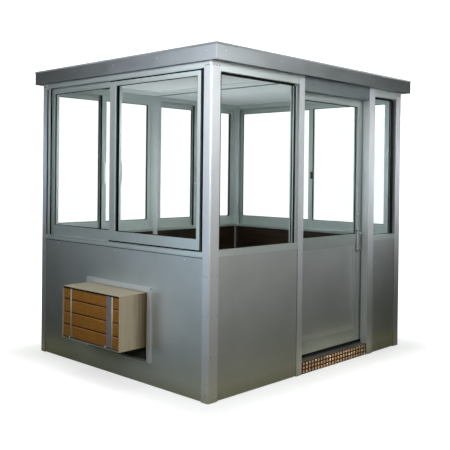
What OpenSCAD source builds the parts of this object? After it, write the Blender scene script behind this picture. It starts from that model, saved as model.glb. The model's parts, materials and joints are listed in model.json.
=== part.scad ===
/* [Booth] */
// Outside width, along X
booth_w = 2440; // [2300:10:2700]
// Outside depth, along Y
booth_d = 2030; // [1950:10:2300]
// Ground to the underside of the roof
eave_h = 2280; // [2260:5:2450]
// Thickness of every wall
wall_t = 64; // [61:1:70]
// Ground to the top of the lower wall panels
belt_h = 972; // [900:1:1050]
// Gap left where one fixed piece seats against another
fit = 0.5; // [0.2:0.1:0.8]

/* [Posts] */
// Corner post face on the front and rear walls
post_x = 88; // [78:1:110]
// Corner post face on the side walls
post_y = 66; // [58:1:90]
// Wall of the hollow posts
post_wall = 4; // [3:0.5:8]
// Rounding of the outer edge of a corner post
post_round = 12; // [6:1:20]
// Face of the jamb on the left of the doorway
jamb_left_w = 64; // [50:1:90]
// Face of the jamb on the right of the doorway
jamb_right_w = 86; // [60:1:100]
// Width of the mullion between the rear windows
mullion_w = 60; // [40:1:90]

/* [Base and floor] */
// Height of the steel base frame
base_h = 85; // [70:1:100]
// Width of the base frame's rails
base_rail = 60; // [50:1:80]
// Width of the joists under the floor
joist_w = 50; // [40:1:70]
// Joists under the floor
joist_count = 3; // [3:2:5]
// Thickness of the floor deck
floor_t = 12; // [8:1:20]

/* [Lower walls] */
// Lining on the room side of the lower walls
lining_t = 9; // [6:1:14]
// How far the outer sheet sits behind the posts
panel_inset = 4; // [3:0.5:6]
// Gap under the lower wall panels
panel_foot = 4; // [2:1:8]
// Depth of the seam pressed into the rear and right panels
seam_d = 2; // [1:0.5:3]
// Width of that seam
seam_w = 6; // [3:1:10]

/* [Sliding windows] */
// Height of the head of a sliding window frame
frame_head = 45; // [35:1:60]
// Height of its sill
frame_sill = 30; // [25:1:40]
// How far its jambs reach from the posts
frame_jamb = 34; // [28:1:45]
// Wall of the frame at the bottom of its tracks
frame_base = 6; // [4:0.5:9]
// Lip along the front and back of the tracks
track_lip = 6; // [3:0.5:8]
// Depth of the tracks in the head and sill
track_deep = 10; // [7:0.5:14]
// Fin between the two tracks
track_fin = 4; // [3:0.5:6]
// How far the frame sits behind the posts
frame_inset = 3; // [1:0.5:3]
// How far the belt moulding stands out
belt_nose = 6; // [3:0.5:10]
// How far the belt moulding hangs over the panel
belt_drop = 6; // [3:1:12]
// How far the belt moulding reaches up the sill
belt_rise = 10; // [6:1:16]
// Depth of the inside sill ledge
stool_d = 18; // [10:1:22]
// Thickness of the inside sill ledge
stool_t = 14; // [8:1:20]
// Thickness of a sash
sash_t = 19; // [14:0.5:20]
// Stile of a sash at the jamb
sash_stile = 50; // [45:1:80]
// Stile of the outer sash at the jamb
sash_pull = 36; // [30:1:60]
// Stile of a sash at the meeting line
sash_meet = 36; // [32:1:60]
// Overlap of the two sashes at the meeting line
sash_lap = 36; // [20:1:60]
// Bottom rail of a sash
sash_low = 82; // [60:1:100]
// Top rail of a sash
sash_high = 42; // [36:1:60]
// Lift room over a sash
sash_lift = 4; // [2:0.5:5]
// Meeting line of the left window, from the middle of the wall towards the front
left_meet = -44; // [-80:1:80]
// Stile of the left window's sashes at the meeting line
left_stile = 66; // [40:1:80]
// Overlap of the left window's sashes
left_lap = 84; // [40:1:100]
// How far the left window's outer sash stands open
left_open = 22; // [12:1:26]
// Meeting line of the right window, from the middle of the wall towards the rear
right_meet = -38; // [-80:1:80]
// Meeting lines of the rear windows, from their middles towards the left wall
rear_shift = 38; // [-60:1:60]
// Gap between the post and the filler in the empty outer track
filler_gap = 16; // [10:1:24]
// Width of that filler
filler_w = 30; // [20:1:34]
// Width of the glazing bead
bead_w = 10; // [8:0.5:14]
// Thickness of the glazing bead
bead_t = 14; // [10:0.5:14]
// Thickness of the glass
glass_t = 5; // [4:0.5:6]
// How far the glass reaches into its bead
glass_bite = 6; // [4:0.5:7]
// Height of a window latch
latch_h = 110; // [70:1:150]
// Width of a window latch
latch_w = 22; // [14:1:30]
// How far a window latch stands off its sash
latch_out = 14; // [8:1:20]
// Ground to the middle of the window latches
latch_z = 1530; // [1400:5:1700]

/* [Fixed windows] */
// Height of the head over the fixed windows
fixed_head = 66; // [50:1:90]
// Height of the sill under the fixed windows
fixed_sill = 42; // [30:1:60]
// Width of the jambs of the fixed windows
fixed_jamb = 30; // [22:1:40]
// How far those jambs sit behind the wall face
fixed_set = 28; // [20:1:34]

/* [Doorway] */
// Clear width between the door jambs
door_open_w = 906; // [840:1:960]
// Middle of the doorway, to the right of the middle of the front
door_mid = 242; // [200:1:280]
// Height of the header over the doorway
header_h = 108; // [90:1:130]
// Height of the tread strip below the door
tread_h = 90; // [70:1:92]
// Thickness of the tread strip
tread_t = 4; // [3:0.5:6]
// Rows of raised buttons on the tread strip
button_rows = 3; // [2:1:3]
// Raised buttons along one row
button_count = 23; // [15:1:27]
// Diameter of a raised button
button_d = 22; // [16:1:24]
// Rim round the hole of a raised button
button_rim = 2; // [1:0.5:3]
// Hole in a raised button
button_hole = 13; // [6:1:14]
// Height of a raised button
button_h = 3; // [2:0.5:4]
// Thickness of the door sill's sheet
sill_t = 4; // [3:0.5:6]
// Height of the floor guide under the door
guide_h = 30; // [24:1:36]
// Thickness of the floor guide
guide_t = 6; // [5:0.5:10]
// Length of the floor guide
guide_l = 44; // [30:1:60]

/* [Sliding door] */
// Gap between the inside of the wall and the door
door_gap = 10; // [8:0.5:16]
// Thickness of the door
door_t = 36; // [32:1:44]
// How far the door laps behind each jamb
door_lap = 25; // [20:1:40]
// Gap between the floor and the door
door_foot = 14; // [10:1:18]
// Gap between the door and the top track
door_drop = 33.5; // [28:0.5:48]
// Stiles of the door
door_stile = 92; // [80:1:110]
// Top rail of the door
door_high = 84; // [70:1:110]
// Middle rail of the door
door_waist = 96; // [80:1:130]
// Bottom rail of the door
door_low = 112; // [100:1:150]
// Ground to the top of the door's middle rail
door_waist_z = 1032; // [980:1:1080]
// Sheet of the door's lower panel
door_sheet = 8; // [5:0.5:12]
// Width of the moulding round the lower panel
mould_w = 34; // [24:1:44]
// Width of the moulding's upper step
mould_step = 14; // [8:1:20]
// Height of each step of the moulding
mould_h = 5; // [3:0.5:6]
// Width of the groove in the foot of the door
groove_w = 18; // [17:0.5:24]
// Depth of the groove in the foot of the door
groove_h = 24; // [23:1:32]

/* [Door gear] */
// Gap between the left wall and the end of the top track
rail_end = 100; // [90:1:140]
// Height of the top track
rail_h = 46; // [42:1:52]
// Width of the top track
rail_w = 48; // [44:1:54]
// Wall of the top track
rail_wall = 4; // [3:0.5:5]
// Slot along the underside of the top track
rail_slot = 17; // [16.5:0.5:19]
// Diameter of the rollers
roller_d = 24; // [20:1:26]
// Thickness of a roller
roller_t = 10; // [8:0.5:11]
// Running gap between a roller and its track
roller_gap = 0.4; // [0.3:0.1:0.8]
// Thickness of the hanger plates
hanger_t = 6; // [4:0.5:7]
// Width of the hanger plates
hanger_w = 70; // [50:1:100]
// Hangers' distance from the edges of the door
hanger_in = 150; // [80:5:300]
// Length of the door pull
pull_l = 146; // [110:1:180]
// Thickness of the pull's bar
pull_d = 14; // [10:1:18]
// How far the pull stands off the door
pull_out = 46; // [36:1:54]
// Ground to the middle of the pull
pull_z = 972; // [900:1:1050]
// Thickness of the pull's back plate
pull_plate = 3; // [2:0.5:5]
// Diameter of the lock's cylinder
lock_d = 26; // [20:1:32]
// Ground to the lock
lock_z = 1205; // [1120:5:1300]

/* [Roof] */
// Height of the roof edge
roof_h = 104; // [80:1:140]
// Roof overhang at the front and rear
eave_y = 72; // [40:1:100]
// Roof overhang at the sides
eave_x = 28; // [15:1:60]
// Thickness of the roof sheet
sheet_t = 3; // [2:0.5:5]
// How far the roof sheet laps past the roof edge
sheet_lap = 4; // [3:0.5:6]
// Turned-down rim of the roof sheet
sheet_rim = 10; // [6:1:16]
// Depth of the drip under the roof edge
drip_h = 5; // [3:0.5:8]
// Thickness of the drip
drip_t = 4; // [3:0.5:6]
// Thickness of the ceiling panels
ceiling_t = 25; // [15:1:40]
// Width of the ceiling light
light_w = 610; // [400:1:620]
// Depth of the ceiling light
light_h = 38; // [30:1:45]
// Gap between the left wall and the ceiling light
light_gap = 151; // [120:1:200]
// Gap between the front wall and the ceiling light
light_front = 151; // [140:1:200]
// Gap between the rear wall and the ceiling light
light_rear = 531; // [500:1:560]
// Rim round the light's lens
light_rim = 22; // [12:1:30]
// How far the lens sits above the rim
lens_set = 6; // [3:0.5:10]
// Diameter of the ceiling vent
vent_d = 150; // [110:1:180]
// Depth of the ceiling vent
vent_h = 26; // [18:1:34]
// Width of the vent's flange
vent_flange = 16; // [10:1:20]
// Thickness of the vent's flange
vent_lip = 6; // [3:0.5:10]
// Gap between the left wall and the middle of the vent
vent_gap = 345; // [250:5:400]
// Gap between the rear wall and the middle of the vent
vent_rear = 250; // [180:5:300]

/* [Air conditioner] */
// Width of the case
ac_w = 695; // [600:1:720]
// Height of the case
ac_h = 392; // [350:1:430]
// Ground to the underside of the case
ac_z = 275; // [250:1:320]
// Middle of the case, from the middle of the wall towards the front
ac_mid = 42; // [0:1:80]
// How far the case stands out of the wall
ac_out = 255; // [200:1:320]
// How far the case reaches into the room
ac_in = 40; // [20:1:80]
// Sheet of the case
ac_skin = 4; // [3:0.5:6]
// How far the coil sits inside the case
coil_set = 10; // [9:1:24]
// Thickness of the coil
coil_t = 45; // [30:1:70]
// Rows of the coil
coil_rows = 4; // [3:1:5]
// Gap between the rows of the coil
coil_gap = 7; // [4:0.5:10]
// Depth of that gap
coil_groove = 6; // [4:0.5:10]
// Narrow strap over the coil, from the case's left side
strap_left = 100; // [70:1:140]
// Width of the narrow strap
strap_thin = 14; // [10:1:24]
// Wide strap over the coil, from the case's right side
strap_right = 92; // [70:1:140]
// Width of the wide strap
strap_wide = 62; // [40:1:80]
// Thickness of the straps
strap_t = 4; // [3:0.5:6]
// Width of the trim on the wall round the case
trim_w = 36; // [26:1:45]
// Thickness of that trim
trim_t = 14; // [8:1:18]
// Gap between the case and its trim
trim_gap = 4; // [2:0.5:6]
// Drop of the recess below the case
recess_h = 112; // [80:1:120]
// Depth of the recess below the case
recess_d = 34; // [20:1:40]
// Room side front's reach past the case
front_lap = 18; // [10:1:30]
// Depth of the room side front
front_d = 30; // [20:1:40]
// Air slots in the room side front
slot_count = 6; // [4:1:9]
// Height of an air slot
slot_h = 16; // [8:1:22]

/* [Hidden] */

// Small overrun that keeps cuts clean
cut = 1;
$fn = 48;

x_out = booth_w / 2;
y_out = booth_d / 2;
x_in = x_out - wall_t;
y_in = y_out - wall_t;
// Ends of the wall pieces that stand between the corner posts
front_x = x_out - post_x - fit;
side_y = y_out - post_y - fit;
floor_z = base_h + floor_t;

// Doorway and the pieces beside it, along the front
open_x0 = door_mid - door_open_w / 2;
open_x1 = door_mid + door_open_w / 2;
jamb_x0 = open_x0 - jamb_left_w;
jamb_x1 = open_x1 + jamb_right_w;
header_z = eave_h - header_h;

// Clear opening of the sliding and fixed windows
slide_sill = belt_h + frame_sill;
slide_head = eave_h - frame_head;
fixed_z0 = belt_h + fixed_sill;
fixed_z1 = eave_h - fixed_head;

// Middle planes of the two tracks, measured in from the wall face
track_room = (wall_t - 2 * track_lip - track_fin) / 2;
track_outer = track_lip + track_room / 2;
track_inner = wall_t - track_lip - track_room / 2;
sash_z0 = slide_sill - track_deep + fit;
sash_z1 = slide_head + track_deep - sash_lift;

// Door leaf, measured along the front and in from the wall face
door_x0 = open_x0 - door_lap;
door_x1 = open_x1 + door_lap;
door_d0 = wall_t + door_gap;
door_d1 = door_d0 + door_t;
door_dm = (door_d0 + door_d1) / 2;
door_z0 = floor_z + door_foot;
pull_x = (open_x1 + door_x1 - door_stile) / 2 - (door_lap + pull_d) / 2;

// Top track and its running surface
rail_z1 = eave_h - fit;
rail_z0 = rail_z1 - rail_h;
roller_z = rail_z0 + rail_wall + roller_gap + roller_d / 2;
door_top = rail_z0 - door_drop;

// Air conditioner, along the left wall as seen from outside
ac_x0 = ac_mid - ac_w / 2;
ac_x1 = ac_mid + ac_w / 2;
ac_z1 = ac_z + ac_h;
coil_d0 = -ac_out + coil_set;

frame_colour = "#aab4b6";
panel_colour = "#6d777b";
post_colour = "#c4c6cc";
glass_colour = [0.8, 0.9, 0.9, 0.3];
lining_colour = "#2a1d15";
steel_colour = "#3d4143";
roof_colour = "#8f979b";
case_colour = "#948f72";
coil_colour = "#8a5a1e";

// Each wall's own frame: x runs left to right seen from outside, y runs in from the wall face
module on_front() {
    translate([0, -y_out, 0]) children();
}

module on_rear() {
    rotate(180) translate([0, -y_out, 0]) children();
}

module on_left() {
    rotate(-90) translate([0, -x_out, 0]) children();
}

module on_right() {
    rotate(90) translate([0, -x_out, 0]) children();
}

// A block between two places along the wall, two depths and two heights
module slab(x0, x1, d0, d1, z0, z1) {
    translate([x0, d0, z0]) cube([x1 - x0, d1 - d0, z1 - z0]);
}

// Plan of a corner post with its outer edge at the origin
module corner_plan() {
    difference() {
        union() {
            difference() {
                square([post_x, post_y]);
                square(post_round);
            }
            translate([post_round, post_round]) circle(post_round);
        }
        translate([post_wall, post_wall])
            difference() {
                square([post_x - 2 * post_wall, post_y - 2 * post_wall]);
                square(post_round - post_wall / 2);
            }
    }
}

module corner_post(right, rear) {
    mirror([right, 0, 0])
        mirror([0, rear, 0])
            translate([-x_out, -y_out, 0])
                linear_extrude(eave_h - fit) corner_plan();
}

// Square cuts that let the floor pass round the corner posts
module corner_notches(z0, z1) {
    for (right = [0, 1], rear = [0, 1])
        mirror([right, 0, 0])
            mirror([0, rear, 0])
                translate([-x_out - cut, -y_out - cut, z0])
                    cube([post_x + fit + cut, post_y + fit + cut, z1 - z0]);
}

module hollow_post(x0, x1, z1) {
    difference() {
        slab(x0, x1, 0, wall_t, 0, z1);
        slab(x0 + post_wall, x1 - post_wall, post_wall, wall_t - post_wall, -cut, z1 + cut);
    }
}

module base_frame() {
    rail_x = x_in - fit;
    rail_y = y_in - fit;
    span = 2 * (rail_x - base_rail);
    pitch = span / (joist_count + 1);
    color(steel_colour)
        difference() {
            union() {
                difference() {
                    translate([-rail_x, -rail_y, 0]) cube([2 * rail_x, 2 * rail_y, base_h]);
                    translate([base_rail - rail_x, base_rail - rail_y, -cut])
                        cube([span, 2 * (rail_y - base_rail), base_h + 2 * cut]);
                }
                for (i = [1:joist_count])
                    translate([base_rail - rail_x + i * pitch - joist_w / 2, base_rail - rail_y - cut, 0])
                        cube([joist_w, 2 * (rail_y - base_rail + cut), base_h]);
            }
            corner_notches(-cut, base_h + cut);
        }
}

module floor_deck() {
    color("#5a4a3c")
        difference() {
            translate([-x_in + fit, -y_in + fit, base_h])
                cube([2 * (x_in - fit), 2 * (y_in - fit), floor_t]);
            corner_notches(base_h - cut, floor_z + cut);
        }
}

// Folded sheet that caps the wall line under the door, with the floor guide behind the left jamb
module door_sill() {
    tread_d = tread_t + button_h;
    color(frame_colour)
        on_front() {
            slab(open_x0 + fit, open_x1 - fit, tread_d + fit, wall_t, floor_z - sill_t, floor_z);
            slab(open_x0 + fit, open_x1 - fit, tread_d + fit, tread_d + fit + sill_t, 0, floor_z - sill_t);
            slab(door_x0 + fit, door_x0 + guide_l, door_dm - guide_t / 2, door_dm + guide_t / 2,
                floor_z, floor_z + guide_h);
        }
}

// Places of the raised buttons, along the doorway and up the strip
button_pitch = (door_open_w - 2 * fit - button_d) / button_count;
button_row = tread_h / button_rows;
button_x0 = open_x0 + fit + button_d / 2 + button_pitch / 2;
tread_z0 = floor_z - sill_t / 2 - tread_h;

// Something at every button's place, at a depth in from the wall face and pointing outwards
module at_buttons(depth) {
    for (i = [0:button_count - 1], k = [0:button_rows - 1])
        translate([button_x0 + i * button_pitch, depth, tread_z0 + (k + 0.5) * button_row])
            rotate([90, 0, 0]) children();
}

// Strip with raised buttons, each a cone with a hole through its top
module step_tread() {
    rim_d = button_hole + 2 * button_rim;
    tread_d = button_h + tread_t;
    color("#a9772f")
        on_front()
            difference() {
                union() {
                    slab(open_x0 + fit, open_x1 - fit, button_h, tread_d, tread_z0, tread_z0 + tread_h);
                    at_buttons(button_h + tread_t / 2)
                        cylinder(d1 = button_d, d2 = rim_d, h = button_h + tread_t / 2);
                }
                at_buttons(tread_d + cut) cylinder(d = button_hole, h = tread_d + 2 * cut);
            }
}

module corner_post_front_left() {
    color(post_colour) corner_post(0, 0);
}

module corner_post_front_right() {
    color(post_colour) corner_post(1, 0);
}

module corner_post_rear_left() {
    color(post_colour) corner_post(0, 1);
}

module corner_post_rear_right() {
    color(post_colour) corner_post(1, 1);
}

module door_jamb_left() {
    color(post_colour) on_front() hollow_post(jamb_x0, open_x0, eave_h - fit);
}

module door_jamb_right() {
    color(post_colour) on_front() hollow_post(open_x1, jamb_x1, eave_h - fit);
}

module rear_mullion() {
    color(post_colour) on_rear() hollow_post(-mullion_w / 2, mullion_w / 2, eave_h - fit);
}

// Lower wall panel between two places along the wall
module lower_panel(x0, x1) {
    slab(x0, x1, panel_inset, wall_t - lining_t, panel_foot, belt_h - fit);
}

// Upright seam pressed into the outer sheet
module panel_seam(x) {
    slab(x - seam_w / 2, x + seam_w / 2, panel_inset - cut, panel_inset + seam_d, panel_foot - cut, belt_h);
}

module lower_lining(x0, x1) {
    slab(x0, x1, wall_t - lining_t, wall_t, floor_z + fit, belt_h - fit);
}

// Hole that the air conditioner's case passes through
module case_hole() {
    slab(ac_x0 - fit, ac_x1 + fit, -cut, wall_t + cut, ac_z - fit, ac_z1 + fit);
}

module left_wall_panel() {
    color(panel_colour)
        on_left()
            difference() {
                lower_panel(-side_y, side_y);
                case_hole();
                slab(ac_x0 - fit, ac_x1 + fit, -cut, recess_d, ac_z - recess_h, ac_z);
            }
}

module front_wall_panel() {
    color(panel_colour) on_front() lower_panel(-front_x, jamb_x0 - fit);
}

module side_light_panel() {
    color(panel_colour) on_front() lower_panel(jamb_x1 + fit, front_x);
}

module rear_wall_panel() {
    color(panel_colour)
        on_rear()
            difference() {
                union() {
                    lower_panel(-front_x, -mullion_w / 2 - fit);
                    lower_panel(mullion_w / 2 + fit, front_x);
                }
                for (s = [-1, 1]) panel_seam(s * (front_x + mullion_w / 2) / 2);
            }
}

module right_wall_panel() {
    color(panel_colour)
        on_right()
            difference() {
                lower_panel(-side_y, side_y);
                panel_seam(0);
            }
}

module left_wall_lining() {
    color(lining_colour)
        on_left()
            difference() {
                lower_lining(-side_y, side_y);
                case_hole();
            }
}

module front_wall_lining() {
    color(lining_colour) on_front() lower_lining(-front_x, jamb_x0 - fit);
}

module side_light_lining() {
    color(lining_colour) on_front() lower_lining(jamb_x1 + fit, front_x);
}

module rear_wall_lining() {
    color(lining_colour)
        on_rear() {
            lower_lining(-front_x, -mullion_w / 2 - fit);
            lower_lining(mullion_w / 2 + fit, front_x);
        }
}

module right_wall_lining() {
    color(lining_colour) on_right() lower_lining(-side_y, side_y);
}

// Frame of a two-sash sliding window: head, sill and channel jambs with two tracks
module slider_frame(x0, x1) {
    a = x0 + frame_base;
    b = x1 - frame_base;
    fin0 = track_lip + track_room;
    fin1 = fin0 + track_fin;
    difference() {
        union() {
            slab(x0, x1, frame_inset, wall_t, belt_h, eave_h - fit);
            slab(x0, x1, -belt_nose, frame_inset, belt_h - belt_drop, belt_h + belt_rise);
            slab(x0, x1, wall_t, wall_t + stool_d, slide_sill - stool_t, slide_sill);
        }
        slab(x0 + frame_jamb, x1 - frame_jamb, -cut, wall_t + cut, slide_sill, slide_head);
        slab(a, b, -cut, fin0, slide_sill, slide_head);
        slab(a, b, track_lip, fin0, slide_sill - track_deep, slide_head + track_deep);
        slab(a, b, fin1, wall_t - track_lip, slide_sill - track_deep, slide_head + track_deep);
    }
    slab(x0 + filler_gap, x0 + filler_gap + filler_w, frame_inset, track_lip,
        slide_sill - track_deep, slide_head + track_deep);
}

// Space of a sash's pane, grown all round for its groove
module sash_pane(x0, x1, d, low, high, grow) {
    edge = bead_w - glass_bite - grow;
    slab(x0 + low + edge, x1 - high - edge, d - glass_t / 2 - grow, d + glass_t / 2 + grow,
        sash_z0 + sash_low + edge, sash_z1 - sash_high - edge);
}

// Sash from x0 to x1 on one track: stiles and rails with a thinner bead round the glass
module sash(x0, x1, d, low, high) {
    difference() {
        union() {
            difference() {
                slab(x0, x1, d - sash_t / 2, d + sash_t / 2, sash_z0, sash_z1);
                slab(x0 + low, x1 - high, d - sash_t, d + sash_t, sash_z0 + sash_low, sash_z1 - sash_high);
            }
            slab(x0 + low, x1 - high, d - bead_t / 2, d + bead_t / 2,
                sash_z0 + sash_low, sash_z1 - sash_high);
        }
        slab(x0 + low + bead_w, x1 - high - bead_w, d - sash_t, d + sash_t,
            sash_z0 + sash_low + bead_w, sash_z1 - sash_high - bead_w);
        sash_pane(x0, x1, d, low, high, fit);
    }
}

// Ends of the inner sash on the left and the outer sash on the right, seen from outside
function inner_x0(x0) = x0 + frame_base + fit;
function inner_x1(meet, lap) = meet + lap / 2;
function outer_x0(meet, lap) = meet - lap / 2;
function outer_x1(x1, open) = x1 - frame_base - open;

module slider_sashes(x0, x1, meet, stile = sash_meet, lap = sash_lap, open = fit) {
    sash(inner_x0(x0), inner_x1(meet, lap), track_inner, sash_stile, stile);
    sash(outer_x0(meet, lap), outer_x1(x1, open), track_outer, stile, sash_pull);
}

module slider_glass(x0, x1, meet, stile = sash_meet, lap = sash_lap, open = fit) {
    sash_pane(inner_x0(x0), inner_x1(meet, lap), track_inner, sash_stile, stile, 0);
    sash_pane(outer_x0(meet, lap), outer_x1(x1, open), track_outer, stile, sash_pull, 0);
}

// Pull latch on the room side of the inner sash's meeting stile
module slider_latch(meet, stile = sash_meet, lap = sash_lap) {
    d = track_inner + sash_t / 2;
    x = inner_x1(meet, lap) - stile / 2;
    slab(x - latch_w / 2, x + latch_w / 2, d, d + latch_out / 3,
        latch_z - latch_h / 2, latch_z + latch_h / 2);
    slab(x - latch_w / 4, x + latch_w / 4, d + latch_out / 6, d + latch_out,
        latch_z - latch_h / 3, latch_z + latch_h / 3);
}

// Meeting line and inner end of each rear window unit
rear_mid = (front_x + mullion_w / 2) / 2;
rear_meets = [-rear_mid + rear_shift, rear_mid + rear_shift];
rear_inner = mullion_w / 2 + fit;

module left_window_frame() {
    color(frame_colour) on_left() slider_frame(-side_y, side_y);
}

module left_window_sashes() {
    color(frame_colour) on_left() slider_sashes(-side_y, side_y, left_meet, left_stile, left_lap, left_open);
}

module left_window_glass() {
    color(glass_colour) on_left() slider_glass(-side_y, side_y, left_meet, left_stile, left_lap, left_open);
}

module right_window_frame() {
    color(frame_colour) on_right() slider_frame(-side_y, side_y);
}

module right_window_sashes() {
    color(frame_colour) on_right() slider_sashes(-side_y, side_y, right_meet);
}

module right_window_glass() {
    color(glass_colour) on_right() slider_glass(-side_y, side_y, right_meet);
}

module rear_window_frames() {
    color(frame_colour)
        on_rear() {
            slider_frame(-front_x, -rear_inner);
            slider_frame(rear_inner, front_x);
        }
}

module rear_window_sashes() {
    color(frame_colour)
        on_rear() {
            slider_sashes(-front_x, -rear_inner, rear_meets[0]);
            slider_sashes(rear_inner, front_x, rear_meets[1]);
        }
}

module rear_window_glass() {
    color(glass_colour)
        on_rear() {
            slider_glass(-front_x, -rear_inner, rear_meets[0]);
            slider_glass(rear_inner, front_x, rear_meets[1]);
        }
}

module window_latches() {
    color("#202426") {
        on_left() slider_latch(left_meet, left_stile, left_lap);
        on_right() slider_latch(right_meet);
        on_rear()
            for (meet = rear_meets) slider_latch(meet);
    }
}

// Pane of a fixed window, grown all round for its groove
module fixed_pane(x0, x1, grow) {
    edge = fixed_jamb - glass_bite - grow;
    d = (fixed_set + wall_t) / 2;
    slab(x0 + edge, x1 - edge, d - glass_t / 2 - grow, d + glass_t / 2 + grow,
        fixed_z0 - glass_bite - grow, fixed_z1 + glass_bite + grow);
}

// Fixed window: head and sill flush with the wall, jambs set back behind the posts
module fixed_frame(x0, x1) {
    difference() {
        slab(x0, x1, frame_inset, wall_t, belt_h, eave_h - fit);
        slab(x0 - cut, x1 + cut, -cut, fixed_set, fixed_z0, fixed_z1);
        slab(x0 + fixed_jamb, x1 - fixed_jamb, -cut, wall_t + cut, fixed_z0, fixed_z1);
        fixed_pane(x0, x1, fit);
    }
}

module front_window_frame() {
    color(frame_colour) on_front() fixed_frame(-front_x, jamb_x0 - fit);
}

module front_window_glass() {
    color(glass_colour) on_front() fixed_pane(-front_x, jamb_x0 - fit, 0);
}

module side_light_frame() {
    color(frame_colour) on_front() fixed_frame(jamb_x1 + fit, front_x);
}

module side_light_glass() {
    color(glass_colour) on_front() fixed_pane(jamb_x1 + fit, front_x, 0);
}

module door_header() {
    color(frame_colour)
        on_front() slab(open_x0 + fit, open_x1 - fit, frame_inset, wall_t, header_z, eave_h - fit);
}

// Slotted box track that the door's rollers run in
module door_track() {
    x0 = -x_in + rail_end;
    color(frame_colour)
        on_front()
            difference() {
                slab(x0, door_x1, door_dm - rail_w / 2, door_dm + rail_w / 2, rail_z0, rail_z1);
                slab(x0 - cut, door_x1 + cut,
                    door_dm - rail_w / 2 + rail_wall, door_dm + rail_w / 2 - rail_wall,
                    rail_z0 + rail_wall, rail_z1 - rail_wall);
                slab(x0 - cut, door_x1 + cut, door_dm - rail_slot / 2, door_dm + rail_slot / 2,
                    rail_z0 - cut, rail_z0 + 2 * rail_wall);
            }
}

// Ring of the roof edge, with a drip along its lower outer edge
module roof_edge() {
    rx = x_out + eave_x;
    ry = y_out + eave_y;
    color(roof_colour)
        difference() {
            translate([-rx, -ry, eave_h - drip_h]) cube([2 * rx, 2 * ry, roof_h + drip_h]);
            translate([drip_t - rx, drip_t - ry, eave_h - drip_h - cut])
                cube([2 * (rx - drip_t), 2 * (ry - drip_t), drip_h + cut]);
            translate([-x_in, -y_in, eave_h - cut]) cube([2 * x_in, 2 * y_in, roof_h + 2 * cut]);
        }
}

// Flat sheet with a rim turned down over the roof edge
module roof_sheet() {
    rx = x_out + eave_x;
    ry = y_out + eave_y;
    top = eave_h + roof_h;
    color("#2b2f31")
        difference() {
            translate([-rx - sheet_lap, -ry - sheet_lap, top - sheet_rim])
                cube([2 * (rx + sheet_lap), 2 * (ry + sheet_lap), sheet_rim + sheet_t]);
            translate([-rx - fit, -ry - fit, top - sheet_rim - cut])
                cube([2 * (rx + fit), 2 * (ry + fit), sheet_rim + cut]);
        }
}

// Two panels that meet at the middle of the ceiling
module ceiling_panels() {
    px = x_in - fit;
    py = y_in - fit;
    color("#d5dad8")
        for (s = [-1, 1])
            translate([s * (px + fit) / 2 - (px - fit) / 2, -py, eave_h]) cube([px - fit, 2 * py, ceiling_t]);
}

// Shallow pan with a rim round a set-back lens
module ceiling_light() {
    run = 2 * y_in - light_front - light_rear;
    color("#eef0ea")
        translate([light_gap - x_in, light_front - y_in, eave_h - fit - light_h])
            difference() {
                cube([light_w, run, light_h]);
                translate([light_rim, light_rim, -cut])
                    cube([light_w - 2 * light_rim, run - 2 * light_rim, lens_set + cut]);
            }
}

// Round vent: a tapered cover under a flat flange
module ceiling_vent() {
    r = vent_d / 2;
    color("#3c4346")
        translate([vent_gap - x_in, y_in - vent_rear, eave_h - fit])
            rotate([180, 0, 0]) {
                cylinder(r = r, h = vent_lip);
                cylinder(r1 = r - vent_flange, r2 = r - 2 * vent_flange, h = vent_h);
            }
}

module ac_case() {
    color(case_colour)
        on_left()
            difference() {
                slab(ac_x0, ac_x1, -ac_out, wall_t + ac_in, ac_z, ac_z1);
                slab(ac_x0 + ac_skin, ac_x1 - ac_skin, -ac_out - cut, wall_t + ac_in + cut,
                    ac_z + ac_skin, ac_z1 - ac_skin);
            }
}

module ac_coil() {
    z0 = ac_z + ac_skin + fit;
    z1 = ac_z1 - ac_skin - fit;
    row = (z1 - z0) / coil_rows;
    color(coil_colour)
        on_left()
            difference() {
                slab(ac_x0 + ac_skin + fit, ac_x1 - ac_skin - fit, coil_d0, coil_d0 + coil_t, z0, z1);
                for (i = [1:coil_rows - 1])
                    slab(ac_x0, ac_x1, coil_d0 - cut, coil_d0 + coil_groove,
                        z0 + i * row - coil_gap / 2, z0 + i * row + coil_gap / 2);
            }
}

module ac_straps() {
    z0 = ac_z + ac_skin + fit;
    z1 = ac_z1 - ac_skin - fit;
    d1 = coil_d0 - fit;
    color("#8e8d8c")
        on_left() {
            slab(ac_x0 + strap_left, ac_x0 + strap_left + strap_thin, d1 - strap_t, d1, z0, z1);
            slab(ac_x1 - strap_right - strap_wide, ac_x1 - strap_right, d1 - strap_t, d1, z0, z1);
        }
}

// Trim on the wall over and beside the case
module ac_wall_trim() {
    x0 = ac_x0 - trim_gap;
    x1 = ac_x1 + trim_gap;
    z0 = ac_z - recess_h;
    z1 = ac_z1 + trim_gap;
    color(post_colour)
        on_left()
            difference() {
                slab(x0 - trim_w, x1 + trim_w, panel_inset - trim_t, panel_inset, z0, z1 + trim_w);
                slab(x0, x1, panel_inset - trim_t - cut, panel_inset + cut, z0 - cut, z1);
            }
}

// Slotted front that closes the case on the room side
module ac_room_front() {
    d0 = wall_t + ac_in + fit;
    x0 = ac_x0 - front_lap;
    x1 = ac_x1 + front_lap;
    pitch = ac_h / (slot_count + 1);
    color("#cfcab8")
        on_left()
            difference() {
                slab(x0, x1, d0, d0 + front_d, ac_z - front_lap, ac_z1 + front_lap);
                for (i = [1:slot_count])
                    slab(ac_x0, ac_x1, d0 + front_d / 2, d0 + front_d + cut,
                        ac_z + i * pitch - slot_h / 2, ac_z + i * pitch + slot_h / 2);
            }
}

// Inside edges of the door's two fields
door_in_x0 = door_x0 + door_stile;
door_in_x1 = door_x1 - door_stile;
door_glass_z1 = door_top - door_high;
door_panel_z1 = door_waist_z - door_waist;
door_panel_z0 = door_z0 + door_low;

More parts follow.
